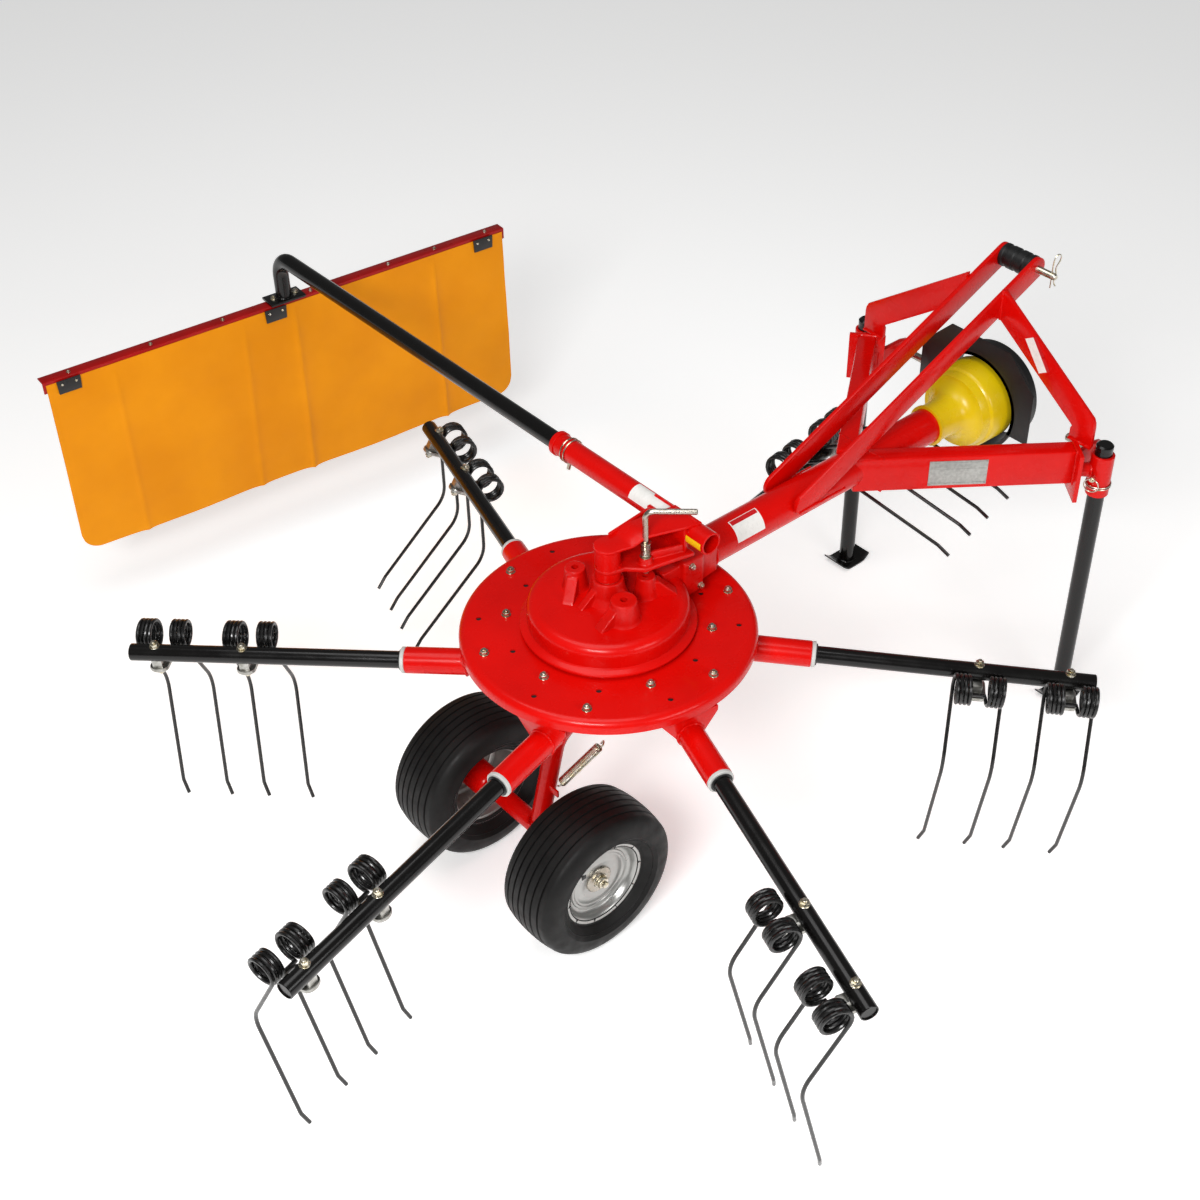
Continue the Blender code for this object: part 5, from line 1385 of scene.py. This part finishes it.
def yokeWeldment():
    height, forward = pivot["height"], pivot["forward"]
    crown = pivot["top"] - pivot["plate"] + 0.001
    barrel = lathe([(0, crown), (pivot["radius"] - 0.003, crown), (pivot["radius"], crown - 0.003),
                    (pivot["radius"], pivot["bottom"] + 0.001), (pivot["radius"] - 0.001, pivot["bottom"]),
                    (0.0198, pivot["bottom"]), (0.0198, 0.94), (0, 0.94)], 56)
    crossHole = rod((-0.05, 0.012, 0.9), (0.05, -0.02, 0.9), 0.005, 0.0005, 16)
    cutAway(barrel, crossHole)
    sleeve = rod((forward, pivot["start"], height), (forward, pivot["end"], height), pivot["sleeve"], 0.0012,
                 56, pivot["bore"])
    collar = rod((forward, pivot["end"] - 0.012, height), (forward, pivot["end"] + 0.002, height),
                 pivot["sleeve"] + 0.003,
                 0.0015, 56, pivot["bore"])
    web = block((0.01, 0.13, 0.066), (forward - pivot["sleeve"] + 0.002, -0.02, 0.928), 0, 0.002)
    side = block((0.13, 0.008, 0.066), (0.09, 0.03, 0.926), math.radians(6), 0.0015)
    seams = [
        weldBead([(forward + 0.004, -0.09, pivot["top"] + pivot["rise"] - 0.002),
                  (forward + 0.004, 0.055, pivot["top"] + pivot["rise"] - 0.002)], 0.0035, 31),
        weldBead(circle((0, 0, pivot["lower"] + 0.009), pivot["radius"] + 0.001, "Z", -1.2, 1.2, 24), 0.0035,
                 32),
    ]
    return merged(barrel, sleeve, collar, bentPlate(), web, side, *seams)


def yokeCasting():
    # the lower plate with its ribs and the lug that drops in front of the gearbox
    x, y = lockPinPlace().x, lockPinPlace().y
    front = pivot["forward"] - 0.01
    outline = [(front, -0.098), (front, 0.05), (0.1, 0.046), (0.03, 0.03)]
    for i in range(13):
        a = math.pi / 2 + math.pi * i / 12
        outline.append((0.031 * math.cos(a), 0.031 * math.sin(a)))
    outline += [(0.02, -0.036), (x - 0.02, y - 0.022), (x + 0.022, y - 0.03)]
    base = shifted(flat(outline, 0.012, 0.002), (0, 0, pivot["lower"] + 0.002))
    boss = lathe([(0, 0), (0.018, 0), (0.016, 0.018), (0, 0.018)], 32)
    shifted(boss, (x, y, pivot["lower"] + 0.004))
    rib = block((0.1, 0.01, 0.03), (0.12, -0.06, pivot["lower"] + 0.014), math.radians(-20), 0.002)
    shell = cast(merged(base, boss, rib), 0.0016, 6)
    hole = rod((x, y, 0.86), (x, y, 0.93), lockPin["radius"] + 0.0008, 0.0003, 20)
    column = rod((0, 0, 0.85), (0, 0, 0.93), 0.0275, 0.0005, 32)
    return cutAway(shell, hole, column)


def lockPinRod():
    x, y = lockPinPlace().x, lockPinPlace().y
    top = Vector((x, y, lockPin["top"] - lockPin["radius"]))
    foot = Vector((x, y, lockPin["tip"] + 0.002))
    end = top + polar(lockPin["handle"], lockPin["handleAzimuth"], 0)
    path = [foot, *corner(foot, top, end, lockPin["bend"], 10), end]
    body = bent(path, lockPin["radius"], 28)
    point = lathe([(0, -0.002), (0.0045, -0.002), (0.007, 0.002), (0, 0.002)], 28)
    knob = rod(end, end + (end - top).normalized() * 0.002, lockPin["radius"] - 0.001, 0.0008, 28)
    return merged(body, shifted(point, foot), knob)


def lockSpring():
    x, y = lockPinPlace().x, lockPinPlace().y
    coil = bent(helix((x, y, 0.914), (x, y, 0.95), 0.0105, 9, 16), 0.0011, 8)
    washers = [rod((x, y, z), (x, y, z + 0.0016), 0.0135, 0.0004, 28, 0.0073) for z in (0.9115, 0.9505)]
    cotter = rod((x - 0.014, y, 0.9095), (x + 0.014, y, 0.9095), 0.0016, 0.0004, 10)
    return merged(coil, *washers, cotter)


boom = dict(radius=0.0225, start=-0.02, reach=1.66, bend=0.062, foot=0.8045, flange=(0.11, 0.06, 0.008))
rail = dict(length=1.48, leg=0.035, wall=0.004, top=0.8, skew=math.radians(-4.6), y=1.64)
curtain = dict(width=1.464, height=0.565, top=-0.01, thick=0.0016, cornerRadius=0.055, columns=300, rows=60,
               foldWidth=0.013, folds=((0.483, 0, 0.012), (0.015, -0.01, 0.013), (-0.146, -0.02, 0.008),
                                       (-0.54, 0, 0.009)))


def railMatrix():
    place = datum + Vector((pivot["forward"], rail["y"], rail["top"]))
    return Matrix.Translation(place) @ Matrix.Rotation(rail["skew"], 4, "Z")


def boomTube():
    x, top = pivot["forward"], pivot["height"]
    start, knee = Vector((x, boom["start"], top)), Vector((x, boom["reach"], top))
    foot = Vector((x, boom["reach"], boom["foot"]))
    path = [start, *corner(start, knee, foot, boom["bend"], 14), foot]
    tube = bent(path, boom["radius"], 40)
    flange = moved(block(boom["flange"], (0, 0, 0), 0, 0.0015),
                   Matrix.Translation(foot) @ Matrix.Rotation(rail["skew"], 4, "Z"))
    bead = weldBead(circle(foot + Vector((0, 0, 0.005)), boom["radius"] + 0.001, "Z", 0, 2 * math.pi, 36),
                    0.0032, 41)
    return merged(tube, flange, bead)


def angleIron():
    leg, wall = rail["leg"], rail["wall"]
    outline = [(0, 0), (leg, 0), (leg, -wall), (wall, -wall), (wall, -leg), (0, -leg)]
    bar = flat(outline, rail["length"], 0.0008)
    return moved(bar, Matrix(((0, 0, 1, 0), (1, 0, 0, 0), (0, 1, 0, 0), (0, 0, 0, 1))))


def railBolts():
    places = []
    for x in (-0.66, -0.42, -0.2, 0.08, 0.34, 0.5, 0.68):
        places.append(((x, rail["leg"] * 0.4, 0), (0, 0, 1)))
    for x in (-0.035, 0.035):
        places.append(((x, 0.02, 0.0085), (0, 0, 1)))
    small = boltsAt(places[:7], 0.5)
    return merged(small, boltsAt(places[7:], 0.8))


def hanging(x, drop):
    # how far the cloth stands off its plane: pressed folds, a slow sway and ripples that grow downwards
    sway = 0.010 * math.sin(2.1 * x + 0.6) * drop ** 1.4
    ripple = 0.0045 * math.sin(9.5 * x + 0.8 * math.sin(4 * drop)) * drop
    folds = 0.0
    for centre, slant, depth in curtain["folds"]:
        away = (x - centre - slant * drop) / curtain["foldWidth"]
        folds += depth * math.exp(-abs(away)) * (0.6 + 0.4 * drop)
    crumple = 0.0018 * noise.noise(Vector((x * 7, drop * 5, 2.0))) + 0.0007 * noise.noise(Vector((x * 26,
                                                                                                  drop * 17,
                                                                                                  5.0)))
    return (sway + ripple + folds + crumple) * min(1, drop * 6) - 0.0012 * (1 - min(1, drop * 8))


def curtainSheet():
    bm = bmesh.new()
    columns, rows = curtain["columns"], curtain["rows"]
    width, height, radius = curtain["width"], curtain["height"], curtain["cornerRadius"]
    grid = []
    for j in range(rows + 1):
        line = []
        for i in range(columns + 1):
            x = -width / 2 + width * i / columns
            fromEdge = width / 2 - abs(x)
            lift = 0.0
            if fromEdge < radius:
                lift = radius - math.sqrt(radius**2 - (radius - fromEdge) ** 2)
            bottom = height - lift
            drop = j / rows
            line.append(bm.verts.new((x, -0.002 - hanging(x, drop) * 0.9, curtain["top"] - bottom * drop)))
        grid.append(line)
    for j in range(rows):
        for i in range(columns):
            bm.faces.new((grid[j][i], grid[j][i + 1], grid[j + 1][i + 1], grid[j + 1][i]))
    sheet = fromBmesh(bm)
    solid = sheet.modifiers.new("thickness", "SOLIDIFY")
    solid.thickness = curtain["thick"]
    solid.offset = 0
    return bake(sheet)


def curtainTabs():
    pieces = []
    for x in (-0.67, -0.045, 0.66):
        tab = flat([(x - 0.034, -0.006), (x + 0.034, -0.006), (x + 0.032, -0.046), (x - 0.032, -0.046)],
                   0.0035, 0.0008)
        pieces.append(moved(tab, Matrix.Translation((0, -0.0058, 0)) @ Matrix.Rotation(math.pi / 2, 4, "X")))
    return merged(*pieces)


def tabRivets():
    places = [((x + d, -0.0075, -0.018), (0, -1, 0)) for x in (-0.67, -0.045, 0.66) for d in (-0.02, 0.02)]
    return boltsAt(places, 0.3)


def makeCurtain():
    addPiece(yokeWeldment(), "yokeWeldment", redEnamel, "curtain_arm", "red_paint", ["curtain_yoke"])
    addPiece(yokeCasting(), "yokeCasting", redCastEnamel, "curtain_arm", "red_paint", (), home, 60)
    addPiece(lockPinRod(), "lockPinRod", brightSteel, "curtain_arm", "bright_steel", ["lock_pin"])
    addPiece(lockSpring(), "lockSpring", zincPlate, "curtain_arm", "bright_steel")
    centre, sleeve = (pivot["forward"], 0, pivot["height"]), pivot["sleeve"]
    wrappedLabel("sleeveStrip", yellowVinyl, "yellow_plastic", centre, "Y", sleeve, (-0.134, -0.06),
                 (162, 198), "curtain_arm")
    wrappedLabel("sleeveLabel", whiteVinyl, "blank_plate", centre, "Y", sleeve, (-0.005, 0.115), (192, 290),
                 "curtain_arm")
    clipRing = merged(*[bent(circle((pivot["forward"], y, pivot["height"]), sleeve + 0.0022, "Y", 0,
                                    2 * math.pi, 40), 0.0018, 8)
                        for y in (0.352, 0.364)])
    clipPin = rod((pivot["forward"] - 0.01, 0.358, pivot["height"] - 0.05),
                  (pivot["forward"] - 0.002, 0.358, pivot["height"] - 0.024),
                  0.005, 0.001, 20)
    addPiece(merged(clipRing, clipPin), "sleeveClip", zincPlate, "curtain_arm", "bright_steel")
    addPiece(boomTube(), "boomTube", blackEnamel, "curtain_boom", "black_paint", ["boom_tube"])
    at = railMatrix()
    addPiece(angleIron(), "angleRail", darkRedEnamel, "curtain_boom", "dark_red_paint", ["curtain_rail"], at)
    addPiece(railBolts(), "railBolts", zincPlate, "curtain_boom", "bright_steel", (), at)
    addPiece(curtainTabs(), "curtainTabs", blackPlastic, "curtain_boom", "black_plastic", (), at)
    addPiece(tabRivets(), "tabRivets", zincPlate, "curtain_boom", "bright_steel", (), at)
    sheet = addPiece(curtainSheet(), "curtainSheet", canvasCloth, "curtain_boom", "curtain_canvas",
                     ["curtain"], at, 80)


makeCurtain()
post = frame["nodes"]["curtain_post"]
post.data.materials.clear()
post.data.materials.append(brightSteel)
print("curtain arm made")


# Floor, light and camera

studio = dict(floorColour="#fbfbfa", floorSize=40.0, floorGlow=0.42, worldStrength=0.16,
              key=dict(place=(-3.4, -2.2, 3.9), size=(1.8, 1.1), power=185),
              fill=dict(place=(0.6, -4.4, 2.8), size=(2.4, 1.4), power=55),
              top=dict(place=(-0.6, 0.4, 5.0), size=(3.0, 3.0), power=80))
shot = dict(place=(-2.08889, -2.50425, 3.44578), angles=(50.5849, -0.2883, -41.8631), lens=54.592,
            shift=(-0.05339, 0.0071))


def makeFloor():
    bm = bmesh.new()
    bmesh.ops.create_grid(bm, x_segments=1, y_segments=1, size=studio["floorSize"] / 2)
    floor = fromBmesh(bm, "floor")
    paper = bpy.data.materials.new("studioPaper")
    paper.use_nodes = True
    shader = paper.node_tree.nodes["Principled BSDF"]
    shader.inputs["Base Color"].default_value = hexToLinear(studio["floorColour"])
    shader.inputs["Roughness"].default_value = 0.85
    # a little light of its own, like a lit paper sweep, keeps the far floor pale
    shader.inputs["Emission Color"].default_value = (1, 1, 1, 1)
    shader.inputs["Emission Strength"].default_value = studio["floorGlow"]
    shader.inputs["Specular IOR Level"].default_value = 0.2
    floor.data.materials.append(paper)


def makeLight(name, look):
    lamp = bpy.data.lights.new(name, "AREA")
    lamp.shape = "RECTANGLE"
    lamp.size, lamp.size_y = look["size"]
    lamp.energy = look["power"]
    holder = newObject(name, lamp)
    holder.location = Vector(look["place"]) + datum
    target = datum + Vector((0.2, 0.1, 0.5))
    holder.rotation_euler = (target - holder.location).to_track_quat("-Z", "Y").to_euler()


def makeWorld():
    world = bpy.data.worlds.new("studioWorld")
    world.use_nodes = True
    sky = world.node_tree.nodes["Background"]
    sky.inputs["Color"].default_value = (1, 1, 1, 1)
    sky.inputs["Strength"].default_value = studio["worldStrength"]
    bpy.context.scene.world = world
    # the plain transform keeps the enamel as deep as the hex values say
    bpy.context.scene.view_settings.view_transform = "Standard"


def makeCamera():
    lens = bpy.data.cameras.new("camera")
    lens.lens = shot["lens"]
    lens.sensor_width = 36
    lens.shift_x, lens.shift_y = shot["shift"]
    lens.clip_end = 60
    holder = newObject("camera", lens)
    holder.location = datum + Vector(shot["place"])
    holder.rotation_euler = [math.radians(a) for a in shot["angles"]]
    bpy.context.scene.camera = holder


makeFloor()
for name in ("key", "fill", "top"):
    makeLight(name + "Light", studio[name])
makeWorld()
makeCamera()
print("studio made")
